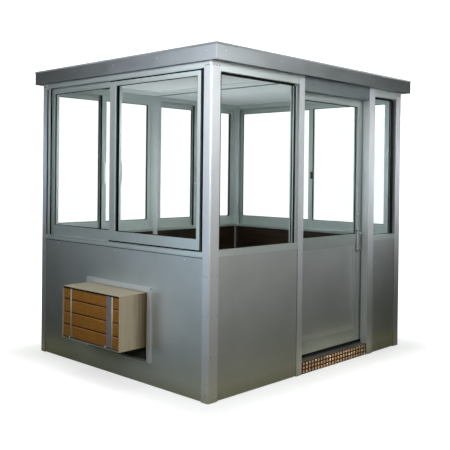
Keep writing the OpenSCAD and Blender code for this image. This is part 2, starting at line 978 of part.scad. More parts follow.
module door_pane(grow) {
    slab(door_in_x0 - glass_bite - grow, door_in_x1 + glass_bite + grow,
        door_dm - glass_t / 2 - grow, door_dm + glass_t / 2 + grow,
        door_waist_z - glass_bite - grow, door_glass_z1 + glass_bite + grow);
}

module door_field(grow) {
    slab(door_in_x0 - glass_bite - grow, door_in_x1 + glass_bite + grow,
        door_dm - door_sheet / 2 - grow, door_dm + door_sheet / 2 + grow,
        door_panel_z0 - glass_bite - grow, door_panel_z1 + glass_bite + grow);
}

module door_frame() {
    color(frame_colour)
        on_front()
            difference() {
                slab(door_x0, door_x1, door_d0, door_d1, door_z0, door_top);
                slab(door_in_x0, door_in_x1, door_d0 - cut, door_d1 + cut, door_waist_z, door_glass_z1);
                slab(door_in_x0, door_in_x1, door_d0 - cut, door_d1 + cut, door_panel_z0, door_panel_z1);
                slab(door_x0 - cut, door_x1 + cut, door_dm - groove_w / 2, door_dm + groove_w / 2,
                    door_z0 - cut, door_z0 + groove_h);
                door_pane(fit);
                door_field(fit);
            }
}

module door_glass() {
    color(glass_colour) on_front() door_pane(0);
}

// One step of the moulding: a frame of some width and height on both faces of the sheet
module mould_frame(width, height) {
    d = door_sheet / 2 + height;
    difference() {
        slab(door_in_x0 + fit, door_in_x1 - fit, door_dm - d, door_dm + d,
            door_panel_z0 + fit, door_panel_z1 - fit);
        slab(door_in_x0 + width, door_in_x1 - width, door_d0, door_d1,
            door_panel_z0 + width, door_panel_z1 - width);
    }
}

// Lower panel with a two-step moulding round its edge on both faces
module door_panel() {
    color(panel_colour)
        on_front() {
            door_field(0);
            mould_frame(mould_w, mould_h);
            mould_frame(mould_step, 2 * mould_h);
        }
}

// Back plate, two posts and a round bar, with the lock's cylinder above
module door_pull() {
    bar_d = door_d0 - fit - pull_out + pull_d / 2;
    foot = pull_l / 2 - pull_d / 2;
    color("#d0d2d4")
        on_front() {
            slab(pull_x - pull_d, pull_x + pull_d, door_d0 - fit - pull_plate, door_d0 - fit,
                pull_z - pull_l / 2 - pull_d, pull_z + pull_l / 2 + pull_d);
            for (s = [-1, 1]) {
                translate([pull_x, door_d0 - fit - pull_plate / 2, pull_z + s * foot])
                    rotate([90, 0, 0]) cylinder(d = pull_d, h = pull_out - pull_d / 2 - pull_plate / 2);
                translate([pull_x, bar_d, pull_z + s * foot]) sphere(d = pull_d);
            }
            translate([pull_x, bar_d, pull_z - foot]) cylinder(d = pull_d, h = 2 * foot);
            translate([pull_x, door_d0 - fit, lock_z])
                rotate([90, 0, 0]) cylinder(d1 = lock_d, d2 = lock_d - pull_plate, h = 2 * pull_plate);
        }
}

// Plates on the door's top edge with a pair of rollers each
module door_hangers() {
    color("#8f9598")
        on_front()
            for (x = [door_x0 + hanger_in, door_x1 - hanger_in]) {
                slab(x - hanger_w / 2, x + hanger_w / 2, door_dm - hanger_t / 2, door_dm + hanger_t / 2,
                    door_top + fit, roller_z);
                translate([x, door_dm + hanger_t / 2 + roller_t + fit, roller_z])
                    rotate([90, 0, 0]) cylinder(d = roller_d, h = hanger_t + 2 * roller_t + 2 * fit);
            }
}

base_frame();
floor_deck();
door_sill();
step_tread();
corner_post_front_left();
corner_post_front_right();
corner_post_rear_left();
corner_post_rear_right();
door_jamb_left();
door_jamb_right();
rear_mullion();
left_wall_panel();
front_wall_panel();
side_light_panel();
rear_wall_panel();
right_wall_panel();
left_wall_lining();
front_wall_lining();
side_light_lining();
rear_wall_lining();
right_wall_lining();
left_window_frame();
left_window_sashes();
left_window_glass();
front_window_frame();
front_window_glass();
side_light_frame();
side_light_glass();
rear_window_frames();
rear_window_sashes();
rear_window_glass();
right_window_frame();
right_window_sashes();
right_window_glass();
window_latches();
door_header();
door_track();
roof_edge();
roof_sheet();
ceiling_panels();
ceiling_light();
ceiling_vent();
ac_case();
ac_coil();
ac_straps();
ac_wall_trim();
ac_room_front();
door_frame();
door_glass();
door_panel();
door_pull();
door_hangers();
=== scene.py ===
import json
import math
from types import SimpleNamespace

import bmesh
import bpy
import numpy as np
from mathutils import Matrix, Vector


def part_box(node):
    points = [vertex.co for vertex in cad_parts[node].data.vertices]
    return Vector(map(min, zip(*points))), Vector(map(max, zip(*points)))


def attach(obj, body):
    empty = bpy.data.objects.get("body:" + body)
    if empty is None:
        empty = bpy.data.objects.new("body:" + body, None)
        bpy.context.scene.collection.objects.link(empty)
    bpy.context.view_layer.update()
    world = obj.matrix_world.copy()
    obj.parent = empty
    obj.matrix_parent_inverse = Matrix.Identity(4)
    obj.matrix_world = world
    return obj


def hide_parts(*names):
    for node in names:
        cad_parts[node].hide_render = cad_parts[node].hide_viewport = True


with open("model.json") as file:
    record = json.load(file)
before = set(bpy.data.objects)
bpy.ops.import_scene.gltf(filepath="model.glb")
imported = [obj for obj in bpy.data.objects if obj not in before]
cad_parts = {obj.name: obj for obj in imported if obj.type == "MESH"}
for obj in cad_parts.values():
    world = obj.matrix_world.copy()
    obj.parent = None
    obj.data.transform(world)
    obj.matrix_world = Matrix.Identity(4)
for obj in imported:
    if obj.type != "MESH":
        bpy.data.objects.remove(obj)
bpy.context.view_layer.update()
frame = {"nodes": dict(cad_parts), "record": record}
nodes = frame["nodes"]
print("frame loaded:", len(nodes), "nodes")

mm = 0.001
seat = 0.2 * mm  # air between a piece and the face behind it
end = 1.0 * mm  # air at the end of a strip


def metres(look):
    # the lengths in a look, with the Mm of their names dropped
    return SimpleNamespace(**{key[:-2]: value * mm for key, value in look.items() if key.endswith("Mm")})


def hexLinear(code):
    # sRGB to linear: the low end is divided by 12.92, the rest is a shifted power of 2.4
    srgb = np.array([int(code[i:i + 2], 16) for i in (1, 3, 5)]) / 255
    linear = np.where(srgb <= 0.04045, srgb / 12.92, ((srgb + 0.055) / 1.055) ** 2.4)
    return (*linear.tolist(), 1.0)


def addNode(tree, kind, values=None, links=None, **settings):
    # a link comes from a socket, or from a node's first output in use
    node = tree.nodes.new("ShaderNode" + kind)
    for key, value in settings.items():
        setattr(node, key, value)
    for key, value in (values or {}).items():
        node.inputs[key].default_value = value
    for key, source in (links or {}).items():
        if isinstance(source, bpy.types.Node):
            source = next(output for output in source.outputs if output.enabled)
        tree.links.new(source, node.inputs[key])
    return node


def newMaterial(name):
    material = bpy.data.materials.new(name)
    material.use_nodes = True
    tree = material.node_tree
    tree.nodes.clear()
    return material, tree, addNode(tree, "TexCoord").outputs["Object"]


noiseSpan = {"From Min": 0.3, "From Max": 0.7}  # nearly all of a noise lies in here


def spreadTo(pair):
    return {"To Min": pair[0], "To Max": pair[1]}


def patchedTone(tree, place, look):
    # two near tones mixed by a broad noise; a noise's scale is 1000 over its size in mm, and a colour Mix has
    # its share at input 0 and its colours at 6 and 7
    patches = addNode(tree, "TexNoise", {"Scale": 1000 / look["patchMm"], "Detail": 4.0}, {"Vector": place})
    tone = addNode(tree, "Mix", {6: hexLinear(look["dark"]), 7: hexLinear(look["pale"])}, {0: patches},
                   data_type="RGBA")
    return patches, tone


def shadeFace(material, tree, values, links):
    shader = addNode(tree, "BsdfPrincipled", values, links)
    addNode(tree, "OutputMaterial", links={"Surface": shader})
    return material


uprightGrain = (1.0, 1.0, 0.04)  # drawn out along Z
levelGrain = (0.04, 0.04, 1.0)  # drawn out along the walls
plainMetal = dict(grainMm=3, grainDraw=(1.0, 1.0, 1.0), dust="#74736a", dustMm=1, footToneShare=0.0, bump=0.05,
                  bumpMm=0.3)
metalLooks = {
    # satin aluminium sheet: it mirrors the room softly, pale above and dim below, with a dusty foot
    "wall_sheet": dict(name="satinAluminiumSheet", dark="#b3b9b7", pale="#cbd0ce", patchMm=260, grainMm=9,
                       grainDraw=(1.0, 1.0, 0.3), dust="#74736a", dustMm=110, footToneShare=0.35,
                       rough=(0.40, 0.48), metallic=0.8, bump=0.06, bumpMm=0.4),
    # clear anodised extrusion: the same metal a little paler, with fine lines along its length, and darkened
    # at the foot by painted shade
    "post_aluminium": dict(name="clearAnodisedPost", dark="#c6cacc", pale="#d2d6d8", patchMm=180,
                           grainDraw=uprightGrain, dust="#9a988f", dustMm=90, footToneShare=0.3,
                           rough=(0.40, 0.48), metallic=0.68),
    # clear anodised window section: a little greener than the posts
    "frame_aluminium": dict(name="anodisedWindowSection", dark="#c4cecb", pale="#d0d9d6", patchMm=150,
                            grainDraw=levelGrain, dust="#9a988f", dustMm=60, footToneShare=0.2,
                            rough=(0.34, 0.44), metallic=0.75),
    # the same section on the door, duller and darker
    "doorFrame": dict(name="handledDoorSection", dark="#a4aeab", pale="#b2bbb8", patchMm=150,
                      grainDraw=levelGrain, dust="#827f76", dustMm=60, footToneShare=0.3,
                      rough=(0.36, 0.48), metallic=0.75),
    # bright zinc on pressed screws: near white specks
    "screw": dict(name="brightZincScrew", dark="#dde1e2", pale="#f2f4f4", patchMm=6, grainMm=2,
                  rough=(0.25, 0.35), metallic=0.4, bump=0.05, bumpMm=0.1),
    # bright anodised angle round the air conditioner: paler than the wall behind it
    "trim": dict(name="brightAnodisedAngle", dark="#c4cbce", pale="#d2d8da", patchMm=120,
                 dust="#9a988f", dustMm=60, footToneShare=0.2, rough=(0.32, 0.42), metallic=0.5),
    # copper tube between the rows of fins, near black as painted shade in the gaps between rows
    "copper": dict(name="tarnishedCopperTube", dark="#1c0d06", pale="#34190c", patchMm=15,
                   rough=(0.45, 0.60), metallic=0.5, bump=0.1, bumpMm=0.2),
    # plain mill aluminium: die lines along the run and a duller face
    "mill_aluminium": dict(name="millAluminium", dark="#7e8788", pale="#939b9c", patchMm=120, grainMm=2.5,
                           grainDraw=(0.03, 1.0, 1.0), dust="#6c6b62", dustMm=110, footToneShare=0.35,
                           rough=(0.34, 0.50), metallic=0.8, bump=0.1, bumpMm=0.3),
    # satin fascia sheet: smooth, with the slight waviness of thin metal
    "roof_metal": dict(name="satinFasciaSheet", dark="#a0a5a8", pale="#abb0b3", patchMm=320, grainMm=60,
                       grainDraw=(0.3, 0.3, 1.0), rough=(0.34, 0.42), metallic=0.9, bump=0.10, bumpMm=1.2),
    # dark painted steel channel: dull, a little pitted
    "base_steel": dict(name="darkPaintedSteel", dark="#2e3133", pale="#3c4042", patchMm=70, grainMm=5,
                       dust="#6a665c", dustMm=90, footToneShare=0.3, rough=(0.50, 0.68), metallic=0.1, bump=0.25,
                       bumpMm=0.5),
    # bright zinc plate on pressed steel
    "hanger_steel": dict(name="zincPlatedSteel", dark="#8d9294", pale="#a9aeb0", patchMm=20,
                         rough=(0.26, 0.40), metallic=1.0, bump=0.06, bumpMm=0.2),
    # polished chrome plate: a clear mirror with a trace of handling
    "pull_chrome": dict(name="polishedChromePlate", dark="#d4d6d8", pale="#e4e6e8", patchMm=40, grainMm=6,
                        rough=(0.06, 0.16), metallic=1.0, bump=0.02, bumpMm=0.1),
    # lacquered condenser fins: bronze gold and matt with dust
    "coil_fins": dict(name="lacqueredCoilFins", dark="#7c5416", pale="#b07c2a", patchMm=22,
                      grainDraw=uprightGrain, rough=(0.42, 0.60), metallic=0.3, bump=0.3, bumpMm=0.6),
}


# Sheet and extruded metal. Patches of two near tones come from a broad noise, and a finer noise drawn out
# along the metal's own grain drives the roughness and a shallow bump. Grain is drawn coarser than the real
# 0.1 mm lines so that it shows. A foot tone thins out upwards from the ground: dust on most metals, and
# painted shade at the foot of the posts.
def metalFinish(look):
    look = dict(plainMetal, **look)
    material, tree, place = newMaterial(look["name"])
    tone = patchedTone(tree, place, look)[1]
    drawn = addNode(tree, "Mapping", {"Scale": look["grainDraw"]}, {"Vector": place})
    grain = addNode(tree, "TexNoise", {"Scale": 1000 / look["grainMm"], "Detail": 3.0}, {"Vector": drawn})
    height = addNode(tree, "SeparateXYZ", links={0: place})
    footMask = addNode(tree, "MapRange", {"From Max": look["dustMm"] * mm, **spreadTo((look["footToneShare"], 0.0))},
                    {"Value": height.outputs[2]}, interpolation_type="SMOOTHSTEP")
    footToned = addNode(tree, "Mix", {7: hexLinear(look["dust"])}, {0: footMask, 6: tone}, data_type="RGBA")
    rough = addNode(tree, "MapRange", {**noiseSpan, **spreadTo(look["rough"])}, {"Value": grain})
    bump = addNode(tree, "Bump", {"Strength": look["bump"], "Distance": look["bumpMm"] * mm},
                   {"Height": grain})
    return shadeFace(material, tree, {"Metallic": look["metallic"]},
                     {"Base Color": footToned, "Roughness": rough, "Normal": bump})


spangleLook = dict(cellMm=9, dark="#7a7472", pale="#9c9692", rough=(0.32, 0.52), metallic=0.4)


# Galvanised strip. Spangle is a Voronoi cell pattern whose cells differ in tone and gloss.
def zincSpangle(look):
    material, tree, place = newMaterial("galvanisedStrip")
    cells = addNode(tree, "TexVoronoi", {"Scale": 1000 / look["cellMm"]}, {"Vector": place})
    grey = addNode(tree, "RGBToBW", links={0: cells.outputs["Color"]})
    tone = addNode(tree, "Mix", {6: hexLinear(look["dark"]), 7: hexLinear(look["pale"])}, {0: grey},
                   data_type="RGBA")
    rough = addNode(tree, "MapRange", spreadTo(look["rough"]), {"Value": grey})
    return shadeFace(material, tree, {"Metallic": look["metallic"]}, {"Base Color": tone, "Roughness": rough})


enamelLook = dict(dark="#a39a80", pale="#b3aa92", paintedShade="#4d3d1e", patchMm=140, streakMm=14,
                  streakDraw=(1.0, 1.0, 0.03), streakShare=0.15, unshadedMm=100, wallShare=1.1, topFacing=0.9,
                  sideFacing=0.3, rough=(0.36, 0.52))


# Baked putty enamel on the air conditioner's steel case: low sheen, faintly yellowed. Brown painted shade
# darkens its sides towards the wall, broken up by streaks that run down them, while the top, where the
# surface faces up, stays light.
def shadedEnamel(look):
    material, tree, place = newMaterial("puttyBakedEnamel")
    mouth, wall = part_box("ac_case")[0].x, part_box("left_wall_panel")[0].x
    tone = patchedTone(tree, place, look)[1]
    drawn = addNode(tree, "Mapping", {"Scale": look["streakDraw"]}, {"Vector": place})
    streaks = addNode(tree, "TexNoise", {"Scale": 1000 / look["streakMm"], "Detail": 3.0}, {"Vector": drawn})
    spot = addNode(tree, "SeparateXYZ", links={0: place})
    deep = addNode(tree, "MapRange", {"From Min": mouth + look["unshadedMm"] * mm, "From Max": wall,
                                      "To Max": look["wallShare"]},
                   {"Value": spot.outputs[0]}, interpolation_type="SMOOTHSTEP")
    share = look["streakShare"]
    uneven = addNode(tree, "MapRange", {**noiseSpan, **spreadTo((-share, share))}, {"Value": streaks})
    facing = addNode(tree, "SeparateXYZ", links={0: addNode(tree, "NewGeometry").outputs["Normal"]})
    side = addNode(tree, "MapRange", {"From Min": look["topFacing"], "From Max": look["sideFacing"]},
                   {"Value": facing.outputs[2]})
    # painted shade: deepest towards the wall, broken by streaks, and kept off faces that look up
    both = addNode(tree, "Math", links={0: deep, 1: uneven}, operation="ADD")
    paintedShade = addNode(tree, "Math", links={0: both, 1: side}, operation="MULTIPLY", use_clamp=True)
    shadedTone = addNode(tree, "Mix", {7: hexLinear(look["paintedShade"])}, {0: paintedShade, 6: tone}, data_type="RGBA")
    rough = addNode(tree, "MapRange", spreadTo(look["rough"]), {"Value": streaks})
    return shadeFace(material, tree, {}, {"Base Color": shadedTone, "Roughness": rough})


treadFinish = dict(gold=("#ffe9ac", "#fffbe8"), dirt=("#1f0c06", "#4c2a16"), patchMm=30, topMm=0.3,
                   deepMm=2.2, rough=(0.3, 0.75), metallic=0.1)


# Gold anodised tread with painted light: the button tops carry a painted highlight in near white gold, and
# the valleys between them painted shade in red-brown, told apart by the depth behind the tops.
def litAndShadedTread(look):
    material, tree, place = newMaterial("goldAnodisedTread")
    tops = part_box("step_tread")[0].y
    s = metres(look)
    patches = addNode(tree, "TexNoise", {"Scale": 1000 / look["patchMm"], "Detail": 4.0}, {"Vector": place})
    gold, dirt = (addNode(tree, "Mix", {6: hexLinear(dark), 7: hexLinear(pale)}, {0: patches},
                          data_type="RGBA") for dark, pale in (look["gold"], look["dirt"]))
    spot = addNode(tree, "SeparateXYZ", links={0: place})
    sunk = addNode(tree, "MapRange", {"From Min": tops + s.top, "From Max": tops + s.deep},
                   {"Value": spot.outputs[1]})
    tone = addNode(tree, "Mix", links={0: sunk, 6: gold, 7: dirt}, data_type="RGBA")
    rough = addNode(tree, "MapRange", spreadTo(look["rough"]), {"Value": sunk})
    return shadeFace(material, tree, {"Metallic": look["metallic"]}, {"Base Color": tone, "Roughness": rough})


woodLooks = {
    # dark walnut faced lining: brown bands along the wall under a satin lacquer
    "wood_lining": dict(name="walnutFacedLining", dark="#0a0704", pale="#35210e", ringMm=22, poreMm=3,
                        draw=(0.08, 0.08, 1.0), rough=(0.28, 0.42), bump=0.2, bumpMm=0.3),
    # sealed plywood floor: broad grain, scuffed
    "floor_board": dict(name="sealedPlywoodFloor", dark="#4a3826", pale="#6d573e", ringMm=45, poreMm=4,
                        draw=(0.06, 1.0, 1.0), rough=(0.40, 0.60), bump=0.2, bumpMm=0.3),
}
ringSpan = {"From Min": 0.35, "From Max": 0.65}


# Wood faces. Growth rings are a twisted noise drawn out along the grain, and a finer noise makes the pores.
def woodFace(look):
    material, tree, place = newMaterial(look["name"])
    drawn = addNode(tree, "Mapping", {"Scale": look["draw"]}, {"Vector": place})
    rings = addNode(tree, "TexNoise", {"Scale": 1000 / look["ringMm"], "Detail": 5.0, "Distortion": 0.6},
                    {"Vector": drawn})
    pores = addNode(tree, "TexNoise", {"Scale": 1000 / look["poreMm"], "Detail": 2.0}, {"Vector": drawn})
    band = addNode(tree, "MapRange", ringSpan, {"Value": rings})
    tone = addNode(tree, "Mix", {6: hexLinear(look["dark"]), 7: hexLinear(look["pale"])}, {0: band},
                   data_type="RGBA")
    rough = addNode(tree, "MapRange", spreadTo(look["rough"]), {"Value": pores})
    bump = addNode(tree, "Bump", {"Strength": look["bump"], "Distance": look["bumpMm"] * mm},
                   {"Height": pores})
    return shadeFace(material, tree, {}, {"Base Color": tone, "Roughness": rough, "Normal": bump})


glassLook = dict(tint="#fbfdfc", dustMm=240, rough=(0.0, 0.08), mirror=(0.04, 1.0), slantPower=5.0)


# Clear float glass as a thin pane: what is behind shows straight through, and the mirrored share runs from
# 4% face on (IOR 1.5) to all of it edge on, by the fifth power of the slant. Wiped dust dulls the mirror.
def floatGlass(look):
    material, tree, place = newMaterial("clearFloatGlass")
    clear = addNode(tree, "BsdfTransparent", {"Color": hexLinear(look["tint"])})
    dust = addNode(tree, "TexNoise", {"Scale": 1000 / look["dustMm"], "Detail": 4.0}, {"Vector": place})
    rough = addNode(tree, "MapRange", spreadTo(look["rough"]), {"Value": dust})
    mirror = addNode(tree, "BsdfGlossy", links={"Roughness": rough})
    facing = addNode(tree, "LayerWeight", {"Blend": 0.5})
    steep = addNode(tree, "Math", {1: look["slantPower"]}, {0: facing.outputs["Facing"]}, operation="POWER")
    share = addNode(tree, "MapRange", spreadTo(look["mirror"]), {"Value": steep})
    pane = addNode(tree, "MixShader", links={0: share, 1: clear, 2: mirror})
    addNode(tree, "OutputMaterial", links={"Surface": pane})
    return material


mouldedLooks = {
    # black ABS latch: fine moulded stipple
    "latch_plastic": dict(name="blackMouldedAbs", dark="#15181a", pale="#22272a", patchMm=30, stippleMm=1.2,
                          rough=(0.38, 0.52), bump=0.2, bumpMm=0.15, ior=1.53),
    # ivory ABS room front: slightly uneven with age
    "ac_plastic": dict(name="ivoryMouldedAbs", dark="#bdb7a2", pale="#cfcab8", patchMm=90, stippleMm=1.5,
                       rough=(0.35, 0.50), bump=0.15, bumpMm=0.15, ior=1.53),
    # coated roof sheet: matt grey, weathered in patches
    "roof_cover": dict(name="coatedRoofSheet", dark="#92999b", pale="#a6adaf", patchMm=180, stippleMm=4,
                       rough=(0.55, 0.75), bump=0.4, bumpMm=0.6, ior=1.5),
    # painted ceiling board: off-white with a light texture
    "ceiling_board": dict(name="paintedCeilingBoard", dark="#d3d8d6", pale="#e2e6e4", patchMm=300,
                          stippleMm=6, rough=(0.55, 0.70), bump=0.15, bumpMm=0.5, ior=1.5),
    # opal acrylic diffuser: milky and smooth
    "light_diffuser": dict(name="opalAcrylic", dark="#f0f2ee", pale="#fafbf8", patchMm=120, stippleMm=3,
                           rough=(0.45, 0.55), bump=0.1, bumpMm=0.1, ior=1.49),
    # white nylon D handles: clean and satin
    "handle": dict(name="whiteMouldedNylon", dark="#e6e9e8", pale="#f4f6f5", patchMm=40, stippleMm=1.5,
                   rough=(0.38, 0.50), bump=0.1, bumpMm=0.1, ior=1.53),
    # dull dark olive sheet in the recess below the air conditioner, painted shadow under the case
    "foam": dict(name="oliveClosedCellFoam", dark="#26271c", pale="#343528", patchMm=40, stippleMm=2,
                 rough=(0.80, 0.95), bump=0.3, bumpMm=0.4, ior=1.5, gloss=0.2),
    # extruded rubber: matt black with a grey bloom
    "gasket": dict(name="blackExtrudedRubber", dark="#060708", pale="#0e1011", patchMm=60, stippleMm=2,
                   rough=(0.75, 0.90), bump=0.2, bumpMm=0.2, ior=1.52, gloss=0.2),
}


# Moulded and matt faces with no grain: plastic, rubber, board and membrane. A fine noise gives the moulded
# texture, and a broad one the uneven tone.
def mouldedFace(look):
    material, tree, place = newMaterial(look["name"])
    patches, tone = patchedTone(tree, place, look)
    stipple = addNode(tree, "TexNoise", {"Scale": 1000 / look["stippleMm"], "Detail": 2.0}, {"Vector": place})
    rough = addNode(tree, "MapRange", {**noiseSpan, **spreadTo(look["rough"])}, {"Value": patches})
    bump = addNode(tree, "Bump", {"Strength": look["bump"], "Distance": look["bumpMm"] * mm},
                   {"Height": stipple})
    return shadeFace(material, tree, {"IOR": look["ior"], "Specular IOR Level": look.get("gloss", 0.5)},
                     {"Base Color": tone, "Roughness": rough, "Normal": bump})


materials = dict(strap_zinc=zincSpangle(spangleLook), ac_enamel=shadedEnamel(enamelLook),
                 gold_tread=litAndShadedTread(treadFinish), window_glass=floatGlass(glassLook))
for makeFace, looks in ((metalFinish, metalLooks), (mouldedFace, mouldedLooks), (woodFace, woodLooks)):
    materials.update({key: makeFace(look) for key, look in looks.items()})
ownFinish = dict(ac_wall_trim="trim", door_frame="doorFrame")
for entry in frame["record"]["subparts"]:
    nodes[entry["node"]].data.materials.clear()
    finish = ownFinish.get(entry["node"], entry["material_slot"])
    nodes[entry["node"]].data.materials.append(materials[finish])
print("materials made:", len(materials))


def gridQuads(rows, cols, wrapRows=False, wrapCols=False):
    # four corners of every cell of a rows by cols grid, joined round where a side wraps
    i, j = np.meshgrid(np.arange(rows if wrapRows else rows - 1), np.arange(cols if wrapCols else cols - 1),
                       indexing="ij")
    down, across = (i + 1) % rows, (j + 1) % cols
    corners = [i * cols + j, i * cols + across, down * cols + across, down * cols + j]
    return np.stack(corners, -1).reshape(-1, 4)


def stackCopies(points, quads):
    # points holds many copies of one grid: each copy's quads are shifted past the copies before it
    copies, count = points.shape[0], points.shape[1]
    shifted = quads[None] + (np.arange(copies) * count)[:, None, None]
    return points.reshape(-1, 3), shifted.reshape(-1, 4)


# slots of the finishes that only these pieces have
pieceSlots = dict(gasket="latch_plastic", foam="latch_plastic", screw="hanger_steel", handle="ac_plastic",
                  copper="coil_fins")


def addPiece(name, groups, material, body="booth", slot=None, smooth=True):
    # groups holds (copies of a grid's points, its quads); they all become one mesh
    slot = slot or pieceSlots.get(material, material)
    points, quads, count = [], [], 0
    for copies, cells in groups:
        flat, shifted = stackCopies(copies, cells)
        points.append(flat)
        quads.append(shifted + count)
        count += len(flat)
    points, quads = np.concatenate(points), np.concatenate(quads)
    mesh = bpy.data.meshes.new(name)
    mesh.vertices.add(len(points))
    mesh.vertices.foreach_set("co", points.astype(np.float32).ravel())
    mesh.loops.add(quads.size)
    mesh.loops.foreach_set("vertex_index", quads.astype(np.int32).ravel())
    mesh.polygons.add(len(quads))
    mesh.polygons.foreach_set("loop_start", np.arange(0, quads.size, 4, dtype=np.int32))
    mesh.update(calc_edges=True)
    tidy = bmesh.new()  # closes poles and seams, then turns every face outwards
    tidy.from_mesh(mesh)
    bmesh.ops.remove_doubles(tidy, verts=tidy.verts, dist=1e-6)
    bmesh.ops.recalc_face_normals(tidy, faces=tidy.faces)
    tidy.to_mesh(mesh)
    tidy.free()
    mesh.polygons.foreach_set("use_smooth", np.full(len(mesh.polygons), smooth))
    mesh.materials.append(materials[material])
    piece = bpy.data.objects.new(name, mesh)
    bpy.context.scene.collection.objects.link(piece)
    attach(piece, body)
    return piece


# Sizes that the pieces share, all read from the nodes.
postLow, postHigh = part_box("corner_post_front_left")
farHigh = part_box("corner_post_rear_right")[1]
xOut, yOut, wallTop = farHigh.x, farHigh.y, farHigh.z
postWide, postDeep = postHigh.x - postLow.x, postHigh.y - postLow.y
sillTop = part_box("left_wall_panel")[1].z
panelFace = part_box("left_wall_panel")[0].x + xOut
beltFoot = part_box("left_window_frame")[0].z
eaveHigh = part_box("roof_edge")[1]

# Each wall's own frame: its axes run left to right seen from outside, into the room, and up.
walls = {
    "front": dict(origin=(0, -yOut, 0), axes=((1, 0, 0), (0, 1, 0), (0, 0, 1))),
    "rear": dict(origin=(0, yOut, 0), axes=((-1, 0, 0), (0, -1, 0), (0, 0, 1))),
    "left": dict(origin=(-xOut, 0, 0), axes=((0, -1, 0), (1, 0, 0), (0, 0, 1))),
    "right": dict(origin=(xOut, 0, 0), axes=((0, 1, 0), (-1, 0, 0), (0, 0, 1))),
}


def onWall(wall, x, depth, z):
    # a point is the wall's origin plus its shares along the wall, inwards and upwards
    shares = np.stack(np.broadcast_arrays(x, depth, z), -1)
    return np.array(walls[wall]["origin"]) + shares @ np.array(walls[wall]["axes"])


def wallBox(wall, points):
    # lowest and highest (along, inward, up) of points seen in a wall's own frame
    shares = (points - np.array(walls[wall]["origin"])) @ np.array(walls[wall]["axes"]).T
    return shares.min(0), shares.max(0)


def nodePoints(name):
    flat = np.zeros(len(nodes[name].data.vertices) * 3, np.float32)
    nodes[name].data.vertices.foreach_get("co", flat)
    return flat.reshape(-1, 3).astype(float)


def nodeBox(wall, name):
    return wallBox(wall, nodePoints(name))


def parts(wall, node, sweeps=400):
    # boxes of a node's separate solids in a wall's own frame, found by joining vertices that share an edge
    mesh, points = nodes[node].data, nodePoints(node)
    links = np.zeros(len(mesh.edges) * 2, np.int32)
    mesh.edges.foreach_get("vertices", links)
    spots = np.unique(np.round(points, 6), axis=0, return_inverse=True)[1].ravel()
    label, ends = np.arange(spots.max() + 1), spots[links.reshape(-1, 2)]
    for sweep in range(sweeps):
        low = np.minimum(label[ends[:, 0]], label[ends[:, 1]])
        fresh = label.copy()
        np.minimum.at(fresh, ends[:, 0], low)
        np.minimum.at(fresh, ends[:, 1], low)
        if (fresh == label).all():
            break
        label = fresh
    return [wallBox(wall, points[label[spots] == one]) for one in np.unique(label[spots])]


def tube(rings, pole=None, openEnd=False):
    # rings of points one behind another, joined side to side; an end is drawn in to the middle of its ring,
    # or to the ring's own point number pole, and the last end may stay open where it can't be seen
    poles = rings[[0, -1]].mean(1, keepdims=True) if pole is None else rings[[0, -1], pole, None]
    first, last = poles[:, None] + 0 * rings[:1]
    rows = np.concatenate([first, rings] if openEnd else [first, rings, last])
    return rows.reshape(1, -1, 3), gridQuads(*rows.shape[:2], wrapCols=True)


def closedRing(rings):
    # rings of points joined side to side, and the last one to the first
    return rings.reshape(1, -1, 3), gridQuads(*rings.shape[:2], wrapRows=True, wrapCols=True)


def mitredRing(low, high, profile):
    # a profile carried round a rectangle with mitred corners: each profile point is (distance outside the
    # rectangle, level), and each corner is the middle plus or minus half a side and that distance
    corners = np.array([(-1, -1), (1, -1), (1, 1), (-1, 1)])[:, None]
    low, high = np.array(low), np.array(high)
    place = (low + high) / 2 + corners * ((high - low) / 2 + profile[:, :1])
    return place[..., 0], place[..., 1], profile[:, 1] + 0 * place[..., 0]


def roundedProfile(a0, a1, b0, b1, radius, steps=3, share=2.01):
    # a rectangle whose corners are quarter circles: each corner's middle plus the radius times cosine and
    # sine, with the radius kept under half of the shorter side
    radius = min(radius, (a1 - a0) / share, (b1 - b0) / share)
    turn = np.linspace(0, np.pi / 2, steps)
    angle = np.concatenate([turn + k * np.pi / 2 for k in range(4)])
    corner = np.repeat(np.array([(a1, b1), (a0, b1), (a0, b0), (a1, b0)]), steps, axis=0)
    inset = np.repeat(np.array([(-1, -1), (1, -1), (1, 1), (-1, 1)]), steps, axis=0) * radius
    return corner + inset + radius * np.stack([np.cos(angle), np.sin(angle)], -1)


def run(wall, profile, start, stop, along="z"):
    # a closed profile carried straight from start to stop; the profile is (place along the wall, depth) for
    # an upright run and (depth, height) for a level one
    a, b = profile.T
    step = np.array([start, stop])[:, None] + 0 * a
    return tube(onWall(wall, *((a, b, step) if along == "z" else (step, a, b))))


def bar(wall, x, depth, z, radius):
    # a straight bar between two places along the wall, two depths and two heights; its long edges are round
    if z[1] - z[0] > x[1] - x[0]:
        return run(wall, roundedProfile(*x, *depth, radius), *z)
    return run(wall, roundedProfile(*depth, *z, radius), *x, "x")


def domeHeads(wall, x, depth, z, look):
    # a head is a dome of revolution: radius follows a sine and height a cosine of the same angle, then a flat
    # underside closes it; depth is the face that it sits on
    turn = np.linspace(0, 2 * np.pi, look["sides"], endpoint=False)
    rise = np.linspace(0, np.pi / 2, look["rings"])
    radius = np.append(np.sin(rise), 0.0) * look["radiusMm"] * mm
    height = np.append(np.cos(rise), 0.0) * look["heightMm"] * mm
    u = radius[:, None] * np.cos(turn)
    v = radius[:, None] * np.sin(turn)
    spots = np.broadcast_arrays(x, depth, z)
    x, depth, z = (np.asarray(part, float).ravel()[:, None, None] for part in spots)
    points = onWall(wall, x + u, depth - height[:, None] + 0 * u, z + v)
    return points.reshape(points.shape[0], -1, 3), gridQuads(len(radius), look["sides"], wrapCols=True)


